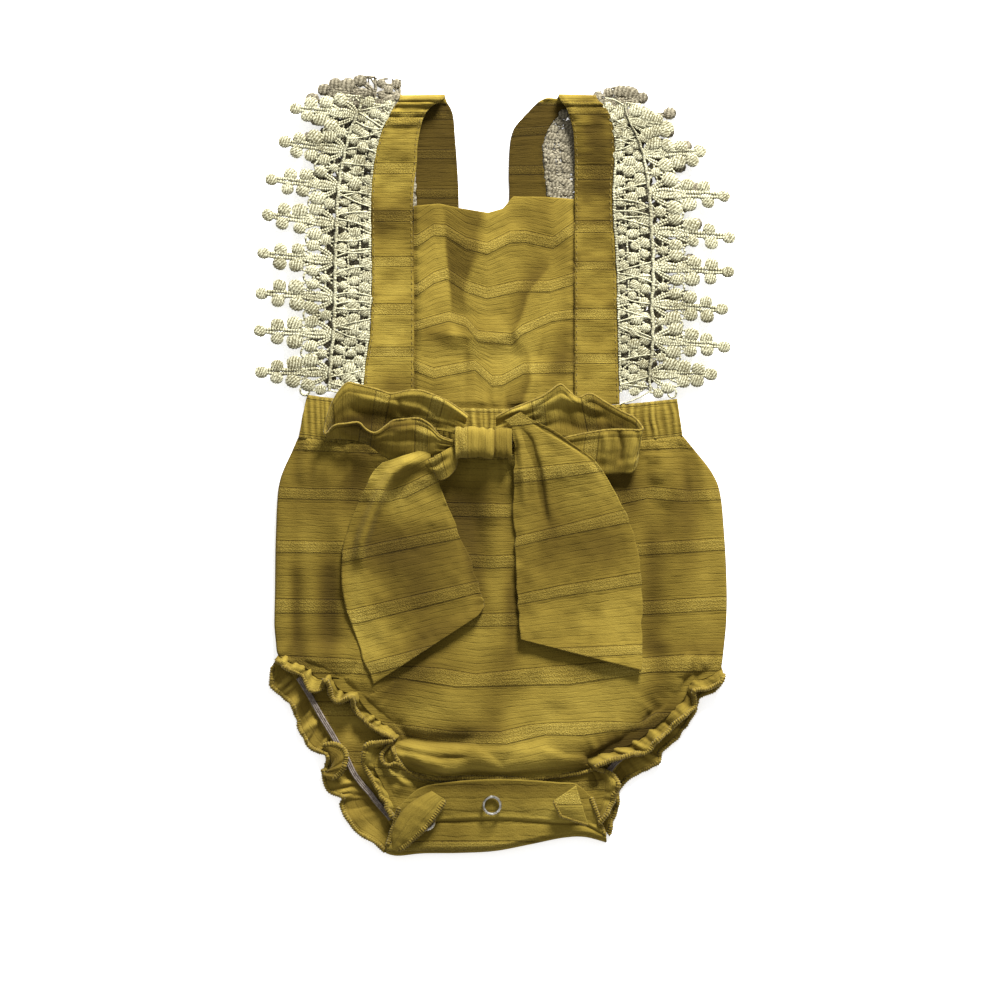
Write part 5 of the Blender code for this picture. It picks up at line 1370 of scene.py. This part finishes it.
def make_lace(side, stretch, rows, material):
    """Front lace, or the back lace, whose gathers lie on each other in two layers."""
    front = stretch == "front"
    points, faces, shade, knobs = lace_finger(front)
    whole = Bundle()
    drift = np.random.default_rng(141).uniform(-0.5, 0.5, (len(rows), 2))
    uneven = np.random.default_rng(143 if side == "left" else 144)

    def settle(spots, index, layer):
        """Places of the template's points in one repeat."""
        moved = np.array(spots, float)
        moved[:, 1] = index + layer + moved[:, 1] / (2.0 * HALF_PITCH)
        moved[:, 1] += drift[index, 0] * 0.06 * np.clip(spots[:, 0] / LACE_WIDTH, 0.0, 1.0)
        moved[:, 0] *= (1.0 + drift[index, 1] * 0.02) * (0.93 if layer else 1.0)
        moved[:, 2] += 0.15 if layer else 0.0
        return lace_place(side, stretch, rows, moved)

    repeats = [(index, 0.0) for index in range(len(rows))]
    if not front:
        repeats += [(index, 0.5) for index in range(1, len(rows) - 1)]
    for repeat in repeats:
        whole.add(settle(points, *repeat), faces, shade)
        for _ in range(3 if front else 0):
            # yarn that crosses the ground from the spine to the strap
            start = uneven.uniform(-HALF_PITCH, HALF_PITCH)
            end = start + uneven.uniform(-7.0, 7.0)
            path = np.linspace((SPINE, start, 1.45), (0.8, end, 1.35), 26)
            path[:, 1] += uneven.uniform(-1.4, 1.4) * np.sin(np.linspace(0.0, math.pi, 26))
            radius = 0.4 * (1.0 + 0.12 * np.cos(math.pi * np.arange(26)))
            bar, bar_faces = tube(path, radius, 5, 0.8)
            whole.add(settle(bar, *repeat), bar_faces, 0.8)
        for spot, knob, knob_faces, knob_shade in knobs:
            shift = uneven.uniform(-0.5, 0.5, 4) * (1.5 if spot[0] < 19.0 else 1.0)
            place = spot + 1.3 * shift[:2] * min(0.5 + spot[0] / 12.0, 1.0)
            ends = np.array(((*place, 0.0), (place[0] + 1.0, place[1], 0.0)))
            centre, ahead = settle(ends, *repeat)
            way = (ahead - centre)[:2] + 0.7 * shift[2]
            way /= np.linalg.norm(way)
            flat = knob[:, 0:1] * way + knob[:, 1:2] * np.array((-way[1], way[0]))
            size = SCALE * (1.0 + (0.12 if spot[0] > 40.0 else 0.3) * shift[3])
            disc = np.column_stack((centre[:2] + size * flat, centre[2] + knob[:, 2]))
            whole.add(disc, knob_faces, knob_shade)
    name = f"lace_{side}_{stretch}"
    piece = whole.piece(f"{name}_threads", material, "cream_lace", [name])


# ---------------------------------------------------------------- bow

LEFT_TAIL_SHADES = (
    (374, 636, 24, 56, 0, 0.46), (354, 584, 12, 60, 0, 0.34), (402, 640, 40, 16, -30, 0.24),
    (396, 668, 30, 12, -30, 0.2), (440, 665, 40, 12, -30, -0.2), (410, 570, 100, 130, 0, -0.5),
    (380, 486, 12, 34, 30, 0.46), (404, 461, 44, 9, 26, 0.5), (412, 468, 34, 3, 8, -0.12),
    (424, 512, 44, 30, 0, 0.36), (415, 553, 70, 22, 8, -0.2), (425, 640, 60, 26, 25, -0.34),
    (420, 490, 30, 16, 20, 0.16), (395, 542, 54, 34, 10, -0.28), (385, 604, 70, 16, 18, -0.24),
    (440, 560, 26, 40, 20, 0.08), (372, 580, 24, 14, 0, 0.08), (440, 614, 50, 12, 25, 0.14),
    (474, 572, 8, 44, 15, -0.24), (356, 625, 14, 44, -14, 0.3),
)
RIGHT_TAIL_SHADES = (
    (601, 598, 20, 36, 0, 0.4), (532, 530, 16, 24, 0, 0.24), (560, 555, 95, 120, 0, -0.3),
    (538, 470, 4, 44, 14, -0.34), (560, 436, 44, 2.5, -31, -0.4), (570, 528, 60, 40, 0, -0.22),
    (550, 452, 34, 26, -30, 0.16), (612, 485, 12, 34, 20, 0.14), (626, 600, 16, 60, 0, 0.2),
    (565, 620, 60, 26, 0, 0.12), (522, 600, 8, 60, 0, -0.12), (530, 520, 14, 60, 0, 0.1),
    (596, 612, 6, 50, -12, -0.12), (540, 530, 18, 56, 0, -0.22), (585, 494, 36, 28, 0, 0.36),
    (612, 560, 36, 40, 0, -0.34), (570, 646, 60, 5, -8, -0.16),
)
LEFT_TAIL_BANDS = (
    (21.5, ((390, 490), (406.6, 485), (437.5, 470), (480, 452))),
    (28, ((390, 502), (406.6, 497.7), (437.5, 482), (480, 464))),
    (49.5, ((341, 551), (390, 541), (475, 524))),
    (56, ((341, 563), (390, 553), (475, 536))),
    (77.5, ((351, 610), (475.6, 581.6))),
    (84, ((358, 624), (477, 594))),
    (105.5, ((363, 664), (442, 643))),
)
RIGHT_TAIL_BANDS = (
    (21.5, ((510, 470), (540.7, 466.8), (598, 461), (630, 452))),
    (28, ((510, 484), (543.5, 480.8), (598, 472.4), (630, 464))),
    (49.5, ((512, 538), (552, 528.6), (623.5, 510))),
    (56, ((512, 548), (553, 538), (626, 524))),
    (77.5, ((512, 596), (560, 586), (640, 573))),
    (84, ((512, 606), (560, 597), (640, 585))),
    (105.5, ((520, 650), (570, 648), (598, 647), (641.6, 645))),
    (112, ((520, 660), (598, 656.8), (641.6, 654))),
)
LEFT_TAIL_CREASES = (
    (((436, 457), (420, 459), (405, 464), (392, 475), (382, 491), (372, 514), (362, 541), (357, 575)),
        2.8, 3, 4.2),
    (((434, 471), (414, 474), (405, 481), (398, 491), (389, 505)), 2, 1.6, -1.4),
    (((420, 480), (408, 530), (396, 590)), 8, 9, 1.1),
    (((452, 520), (436, 570), (420, 620)), 6, 7, -0.9),
    (((372, 520), (360, 570), (368, 620)), 5, 5, 0.8),
)
RIGHT_TAIL_CREASES = (
    (((515, 422), (530, 441), (539, 470), (545, 511), (550, 532)), 1.6, 2.4, -1.1),
    (((519, 421), (535, 441), (544, 470), (549, 505), (553, 530)), 3.4, 1.6, 0.8),
    (((514, 424), (519, 440), (522, 470), (524, 510)), 2, 2, 1),
    (((529, 421.5), (560, 438.5), (590, 458), (604, 478)), 0.7, 0.7, -1.3),
    (((566, 440), (590, 490), (596, 560), (592, 620)), 9, 9, 1.1),
    (((620, 520), (618, 580), (616, 650)), 5, 6, -0.8),
    (((530, 560), (536, 600), (540, 640)), 5, 5, 0.8),
)


def make_tail(side, rows, folds, bands, dark, seed):
    u, v = share(84)[None, :], share(118)[:, None]
    table = curve(rows, v[:, 0])
    x, y = mix(table[:, 0:1], table[:, 2:3], u), mix(table[:, 1:2], table[:, 3:4], u)
    run = run_of(table[:, 0:4])[:, None]
    x = x - 0.55 * np.exp(-u / 0.06) * noise(run, 0.0, 7.0, seed)
    x = x + 0.55 * np.exp((u - 1.0) / 0.06) * noise(run, 0.0, 7.0, seed + 1)
    edge = np.minimum(np.minimum(u, 1.0 - u), 0.12) / 0.12
    own = creases(x, y, folds) * smooth(0.0, 1.0, edge) + 0.5
    own = own + 0.35 * noise(x, y, 8.0, seed + 3) + 0.2 * noise(x, y, 4.0, seed + 4)
    below = front_base(x, np.minimum(y, BAND_BOTTOM[1]))[0] + HALF + CLOTH + DRAPE
    hanging = smooth(0.8, 1.0, v) * (smooth(0.0, 0.5, u) if side == "left" else 1.0)
    lift = table[:, 4:5] + 2.2 * hanging
    if side == "left":
        lift = lift - bell(u, 0.16) * smooth(0.4, 0.6, v)
    z = below + lift + np.maximum(own, 0.0) - 0.8
    z = np.maximum(z, front_z(x, y) + mix(0.5, 0.9, smooth(0.0, 0.2, u)) + 2.0 * hanging)
    inner = 1.0 - u if side == "left" else u
    z = z - 0.9 * bell(inner, 0.05) * (np.abs(v - 0.48) < 0.2)
    # painted shade and painted light from the tail's table
    cloth = weave(x, y, bands, shades(x, y, dark))
    z = z + RAISED * in_band(cloth[:, :, 1])
    name = f"bow_tail_{side}"
    piece = sheet(f"{name}_cloth", stack(x, y, z), cloth, COTTON, [name])


LOOP_SHADES = (
    (384, 425, 48, 8, 4, -0.34), (334, 427, 16, 10, 0, 0.6), (396, 414, 24, 7, 10, 0.3),
    (364, 404, 18, 8, 10, 0.36), (608, 396, 90, 12, 20, -0.26), (596, 428, 60, 10, 4, -0.16),
    (562, 405, 14, 8, 0, 0.4), (444, 416, 28, 30, 0, 0.6), (532, 412, 44, 18, -15, 0.6),
    (582, 405, 16, 10, 0, 0.36), (636, 446, 20, 30, 0, 0.36), (360, 420, 40, 7, 8, -0.4),
    (362, 411, 36, 10, 12, -0.2), (362, 419, 54, 7, 12, -0.36), (415, 402, 46, 10, 10, 0.14),
    (374, 447, 16, 10, 0, -0.36), (345, 400, 14, 10, 0, 0.1), (398, 427, 50, 6, 4, -0.4),
    (600, 427, 44, 7, 4, -0.44), (585, 408, 50, 16, 20, -0.3), (560, 402, 20, 14, 0, 0.12),
    (621, 446, 8, 34, 0, -0.36), (600, 440, 20, 14, 10, 0.08),
)
LOOP_CREASES = (
    (((344, 404), (366, 413), (390, 418), (404, 424)), 2.4, 2.6, -1.6),
    (((352, 396), (384, 402), (420, 408), (448, 424)), 1.6, 1.8, 1.3),
    (((336, 428), (352, 436), (368, 436), (380, 446)), 1.6, 1.6, -1.3),
    (((392, 432), (412, 428), (436, 440)), 1.6, 2, 1.2),
    (((398, 398), (402, 412), (414, 420)), 1.4, 1.4, -1),
    (((544, 412), (560, 408), (584, 410), (612, 420)), 1.8, 2.4, -1.4),
    (((560, 396), (576, 402), (604, 414)), 1.6, 1.6, 1),
    (((618, 428), (622, 448), (620, 466)), 1.4, 1.6, -1.4),
    (((604, 430), (606, 450), (602, 464)), 1.6, 1.6, 0.9),
    (((636, 428), (638, 446), (634, 460)), 1.4, 1.4, -0.9),
)


def make_loop(name, table, turn, seed):
    """Loop of the bow: the layer underneath curls up to its hem, the upper one leans on it."""
    table = np.array(table, float)
    hem = np.column_stack((pic(*table[:, 0:2]), table[:, 2]))
    base = np.column_stack((pic(*table[:, 3:5]), table[:, 5]))
    place = share(900)
    fine = curve(np.column_stack((base, hem)), place)
    run = run_of(fine)
    rows = even(fine, 250)
    turned = float(np.interp(turn / (len(table) - 1), place, run)) / run[-1]
    length = run_of(0.5 * (rows[:, 0:3] + rows[:, 3:6]))[:, None]
    v = share(28)[None, :]
    over = smooth(turned - 0.03, turned + 0.03, share(250)[:, None])
    x, y = mix(rows[:, 0:1], rows[:, 3:4], v), mix(rows[:, 1:2], rows[:, 4:5], v)
    rise = mix(smooth(0.25, 0.9, v), 1.0 - (1.0 - v) ** 1.6, over)
    z = mix(rows[:, 2:3], rows[:, 5:6], rise)
    near = 1.0 - np.minimum(length, length[-1] - length) / (length[-1] / 2.0)
    rays = noise(v * 13.0 + 0.6 * noise(length, v * 5.0, 8.0, seed + 4), length * 0.1, 1.6, seed)
    z = z + rays * (0.25 + 1.1 * np.clip(near, 0.0, 1.0) ** 2)
    across = noise(length, v * 2.0, 4.2, seed + 2) * 0.55 + noise(length, v * 2.0, 9.0, seed + 3) * 0.5
    z = z + across * smooth(0.0, 0.3, v) + creases(x, y, LOOP_CREASES)
    seam = bell(v - 0.86, 0.02)
    z = np.maximum(z + 0.45 * smooth(0.84, 0.88, v) - 0.4 * seam, 6.9)
    t = length + (9.0 if turn == LEFT_TURN else 3.0) + 1.2 * noise(length, v, 9.0, seed + 5)
    # painted light towards the hem, painted shade in the dip along the seam, a little darker overall,
    # and painted shade and light from LOOP_SHADES
    tone = 0.1 * smooth(0.3, 1.0, v) - 0.14 * seam - 0.14 + shades(x, y, LOOP_SHADES)
    cloth = stack(v * 26.0, t, tone)
    piece = sheet(f"{name}_cloth", stack(x, y, z), cloth, COTTON, [name], wall=0.9)
    roll = rolled(f"{name}_hem", stack(x[:, -1], y[:, -1], z[:, -1]), 0.62)


def make_knot():
    u = share(56)[:, None]
    turn = np.arange(72)[None, :] / 72
    cosine, sine = np.cos(2.0 * math.pi * turn), np.sin(2.0 * math.pi * turn)
    x = mix(KNOT_X[0], KNOT_X[1], u) + 0.0 * turn
    ridge = 0.7 * noise(x, cosine * 2.0, 2.0, 151) + 0.5 * noise(x, cosine * 2.0, 3.6, 152)
    ends = smooth(0.0, 0.06, np.minimum(u, 1.0 - u))
    grow = (ridge - 0.9 * bell(x + 0.3, 0.9) - HALF) * ends - (1.0 - ends)
    height = (KNOT_HALF_HEIGHT + grow) * (1.0 - 0.1 * np.sin(math.pi * u))
    depth = (KNOT_Z[1] - KNOT_Z[0]) / 2.0 + grow
    y = KNOT_CENTRE_Y + height * np.sign(cosine) * np.abs(cosine) ** 0.75
    z = sum(KNOT_Z) / 2.0 + depth * np.sign(sine) * np.abs(sine) ** 0.75
    # darker on its right half, and painted shade in the pinched middle
    tone = -0.2 * smooth(-1.0, 1.0, x) - 0.3 * bell(x + 0.3, 0.6)
    cloth = stack(turn * 52.0, x * 0.9 + 40.0, tone)
    piece = sheet("knot_cloth", stack(x, y, z), cloth, COTTON, ["bow_knot"], wrap=True)


# gathered cloth of the left tail: upper and lower edge, as pixels and height
NECK = (
    ((458, 443, 12), (457, 462, 11)),
    ((450, 448, 13.6), (454, 470, 11.6)),
    ((441, 453, 13.4), (447, 477, 12)),
    ((433, 458, 12), (440, 479, 11)),
    ((424, 462, 10.4), (434, 474, 9.4)),
)


def make_neck():
    """Gathered cloth of the left tail where it leaves the knot."""
    x, y, z, rows, v = strip(NECK, 44, 26)
    run = run_of(0.5 * (rows[:, 0:3] + rows[:, 3:6]))[:, None]
    z = z + 1.3 * noise(v * 11.0 + 1.4 * noise(run, 0.0, 5.0, 156), run * 0.2, 2.4, 155)
    z = z + np.sin(math.pi * v)
    piece = sheet("bow_neck", stack(x, y, z), stack(v * 12.0, run + 12.0, 0.0), COTTON)
    edge = rolled("bow_neck_hem", stack(x[:, -1], y[:, -1], z[:, -1]), 0.55)


# ---------------------------------------------------------------- crotch

CROTCH_SHADES = (
    (480, 786, 100, 8, -3, -0.36), (520, 815, 100, 9, 0, 0.3), (557, 816, 16, 14, 0, 0.4),
    (490, 815, 120, 50, 0, -0.1), (440, 826, 44, 30, 40, -0.24), (560, 826, 16, 8, 0, -0.14),
)
# roll at the band's left end: its free edge on the band and where it comes from
CROTCH_ROLL = (
    ((397, 851, 4.6), (389, 848, 2.6)),
    ((408, 843, 7), (391, 834, 5.6)),
    ((420, 832, 8.6), (397, 819, 7.2)),
    ((431, 820, 9.6), (406, 807, 8.2)),
    ((440, 807, 9.8), (418, 798, 8.4)),
    ((445, 799, 9.2), (432, 791, 8.2)),
)
# ropes of thread where the front is gathered to the band, and at the left leg's corner
GATHERED_SEAM = (
    (392, 744), (396, 757), (405, 769), (418, 776), (440, 779), (470, 778), (500, 778), (530, 779),
    (560, 776), (585, 772), (602, 764),
)
HEM_SWIRL = ((394, 742), (387, 747), (382, 754), (382, 761), (388, 765), (396, 763), (401, 766))
# ruffle of the back's left leg, flipped over the elastic: its hem and its root
FLIP = (
    ((322, 746, 3.2), (326, 752, 2.6)),
    ((331, 744, 5), (330, 758, 3.6)),
    ((340, 746, 6.2), (332, 764, 4.2)),
    ((346, 753, 6.8), (331, 768, 4.4)),
    ((345, 764, 6.8), (328, 771, 4)),
    ((340, 773, 6), (325, 774, 3.4)),
    ((331, 780, 4.6), (322, 776, 2.6)),
)


def make_flip():
    """Ruffle flipped over the left elastic."""
    x, y, z, rows, v = strip(FLIP, 80, 14)
    run = run_of(rows[:, 0:3])[:, None]
    z = z + 0.7 * np.sin(math.pi * v) + 0.4 * noise(run, v * 3.0, 2.6, 207)
    # painted shade deepening from the ruffle's hem to its root
    cloth = stack(run, v * 8.0 + 3.0, -0.1 - 0.3 * v)
    piece = sheet("leg_flip", stack(x, y, z), cloth, COTTON_INSIDE)
    edge = roped("leg_flip_edge", (stack(x[:, 0], y[:, 0], z[:, 0]), 1.3, 18))


def make_roll():
    """Left end of the band, rolled over the first snap."""
    x, y, z, rows, v = strip(CROTCH_ROLL, 70, 18)
    run = run_of(rows[:, 0:3])[:, None]
    z = z + 1.3 * np.sin(math.pi * v) + 0.3 * noise(run, v * 3.0, 3.0, 206)
    z = np.maximum(z, 1.2)
    # painted light at the free edge, turning to painted shade towards the root
    cloth = stack(run, v * 8.0 + 3.0, 0.1 - 0.2 * v)
    piece = sheet("crotch_roll", stack(x, y, z), cloth, COTTON)
    edge = roped("crotch_roll_edge", (stack(x[:, 0], y[:, 0], z[:, 0]), 1.35, 17))


def crotch_points():
    """Middle of the band's cloth: under the crotch, round its fold and up over the front."""
    table = curve(CROTCH_BAND, share(120))
    x = table[:, 0]
    centre_y = table[:, 1] + CROTCH_FOLD_RADIUS + CLOTH
    centre_z = BACK_TOP + CROTCH_FOLD_RADIUS
    radius = CROTCH_FOLD_RADIUS + HALF
    path = []
    for part in share(14)[:-1]:
        path.append(stack(x, mix(CROTCH_SEAM_Y, centre_y, part), BACK_TOP - HALF))
    for angle in np.linspace(-math.pi / 2.0, -1.5 * math.pi, 10):
        y = centre_y + radius * math.cos(angle)
        path.append(stack(x, y, centre_z + radius * math.sin(angle)))
    for part in share(38)[1:]:
        over_x, y = mix(x, table[:, 2], part), mix(centre_y, table[:, 3], part)
        base = front_base(over_x, y)[0] + CLOTH + CROTCH_DRAPE
        z = np.maximum(base, centre_z + CROTCH_FOLD_RADIUS) + HALF
        path.append(stack(over_x, y, z))
    return np.array(path), centre_z


def make_crotch():
    points, centre_z = crotch_points()
    x, y, z = points[:, :, 0], points[:, :, 1], points[:, :, 2]
    top = smooth(centre_z, centre_z + 1.5, z)
    z = z + top * (0.35 * noise(x, y, 10.0, 201) + 0.12 * noise(x, y, 4.0, 202))
    steps = np.linalg.norm(np.diff(points, axis=0), axis=2)
    run = np.cumsum(np.concatenate((np.zeros((1, x.shape[1])), steps)), axis=0)
    from_edge = run[-1:] - run
    rows = ((7.0, 782), (PERIOD - BAND, 842), (PERIOD, 851))
    # painted shade and painted light from CROTCH_SHADES
    cloth = weave(x, y, [(t, ((380, row), (600, row))) for t, row in rows], shades(x, y, CROTCH_SHADES))
    # the hem's stitching 21.2 mm from the edge in painted shade, and the ridge beside it in painted
    # light
    cloth[:, :, 2] += 0.12 * bell(from_edge - 19.4, 1.0) - 0.3 * bell(from_edge - 21.2, 0.5)
    relief = 0.3 * in_band(cloth[:, :, 1]) - 0.6 * bell(from_edge - 21.2, 0.7)
    z = z + top * (relief + 0.4 * bell(from_edge - 19.2, 0.9))
    piece = sheet("crotch_cloth", stack(x, y, z), cloth, COTTON, ["crotch_band"])
    left, right = (stack(x[24:, i], y[24:, i], z[24:, i] + 0.3) for i in (0, -1))
    seam = curve(pic(*GATHERED_SEAM), share(160))
    seam = np.column_stack((seam, front_z(seam[:, 0], seam[:, 1]) + 1.0))
    swirl = curve(pic(*HEM_SWIRL), share(60))
    swirl = np.column_stack((swirl, front_z(swirl[:, 0], swirl[:, 1]) + 1.7))
    edge = roped("crotch_edge", (left, 1.1, 7), (right, 1.0, 8), (seam, 1.1, 19), (swirl, 1.0, 20))


def make_corner():
    """Turned corner of the band."""
    v = share(30)
    near = mix(BAND_CORNER[0], BAND_CORNER[1], v[:, None])
    far = mix(BAND_CORNER[3], BAND_CORNER[2], v[:, None])
    spots = mix(far[None, :, :], near[None, :, :], v[:, None, None])
    x, y = spots[:, :, 0], spots[:, :, 1]
    puff = 0.6 * np.outer(np.sin(math.pi * v), np.sin(math.pi * v))
    base = front_base(x, y)[0] + CLOTH + CROTCH_DRAPE
    z = np.maximum(base, BACK_TOP + 2.0 * CROTCH_FOLD_RADIUS) + CLOTH + 3.1 + puff
    # the turned corner lighter with painted light
    cloth = stack(x, y + 300.0, 0.3)
    points = stack(x, y, z)
    corner = sheet("crotch_corner_cloth", points, cloth, COTTON, ["crotch_band_corner"])
    border = np.concatenate((points[::-1, 0], points[0, 1:])) + (0.0, 0.0, 0.2)
    edge = roped("crotch_corner_edge", (border, 0.9, 9))


# ---------------------------------------------------------------- studio


def make_studio():
    n = Nodes("floor")
    n.colour(n.mix(n.noise(n.position(1.0)), rgb(0.93, 0.93, 0.93), rgb(0.96, 0.96, 0.96)))
    n.surface["Emission Color"].default_value = (1.0, 1.0, 1.0, 1.0)
    n.surface["Emission Strength"].default_value = 0.58
    mesh = bpy.data.meshes.new("floor")
    corners = [(-3.0, -3.0), (3.0, -3.0), (3.0, 3.0), (-3.0, 3.0)]
    mesh.from_pydata([(x, y, -0.0002) for x, y in corners], [], [(0, 1, 2, 3)])
    mesh.materials.append(n.finish(0.9))
    floor = bpy.data.objects.new("floor", mesh)
    bpy.context.scene.collection.objects.link(floor)

    world = bpy.data.worlds.new("studio")
    bpy.context.scene.world = world
    world.use_nodes = True
    sky = world.node_tree.nodes["Background"].inputs
    sky["Color"].default_value = (1.0, 1.0, 1.0, 1.0)
    sky["Strength"].default_value = 0.5

    lamp = bpy.data.lights.new("key", "AREA")
    lamp.shape = "DISK"
    lamp.size = 0.5
    lamp.energy = 80.0
    key = bpy.data.objects.new("key", lamp)
    way = Vector((0.26, 0.865, 0.43)).normalized()
    key.location = way * 1.5
    key.rotation_euler = way.to_track_quat("Z", "Y").to_euler()
    bpy.context.scene.collection.objects.link(key)

    eye = bpy.data.cameras.new("camera")
    eye.sensor_width = 36.0
    eye.lens = 215.6
    eye.clip_end = 20.0
    camera = bpy.data.objects.new("camera", eye)
    camera.location = (0.0025, -0.01425, 3.0)
    bpy.context.scene.collection.objects.link(camera)
    bpy.context.scene.camera = camera
    bpy.context.scene.view_settings.view_transform = "Standard"


make_front()
make_back()
make_frill(FRONT_LEFT_HEM, "left", True, 75)
make_frill(BACK_LEFT_LEG, "left", False, 70)
make_frill(FRONT_RIGHT_HEM, "right", True, 85)
make_frill(BACK_RIGHT_LEG, "right", False, 80)
make_elastics()
make_waistband()
make_bib()
make_strap("left", LEFT_STRAP_BANDS, LEFT_STRAP_SHADES, 101)
make_strap("right", RIGHT_STRAP_BANDS, RIGHT_STRAP_SHADES, 111)
make_lace("left", "front", LEFT_LACE_FRONT, LACE)
make_lace("right", "front", RIGHT_LACE_FRONT, LACE)
make_lace("left", "back", LEFT_LACE_BACK, LACE_BACK)
make_lace("right", "back", RIGHT_LACE_BACK, LACE_BACK)
make_loop("bow_loop_left", LEFT_LOOP, LEFT_TURN, 161)
make_loop("bow_loop_right", RIGHT_LOOP, RIGHT_TURN, 171)
make_neck()
make_tail("left", LEFT_TAIL, LEFT_TAIL_CREASES, LEFT_TAIL_BANDS, LEFT_TAIL_SHADES, 181)
make_tail("right", RIGHT_TAIL, RIGHT_TAIL_CREASES, RIGHT_TAIL_BANDS, RIGHT_TAIL_SHADES, 191)
make_knot()
make_crotch()
make_corner()
make_roll()
make_flip()
for snap in SNAPS:
    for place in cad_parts[snap].material_slots:
        place.material = METAL
make_studio()
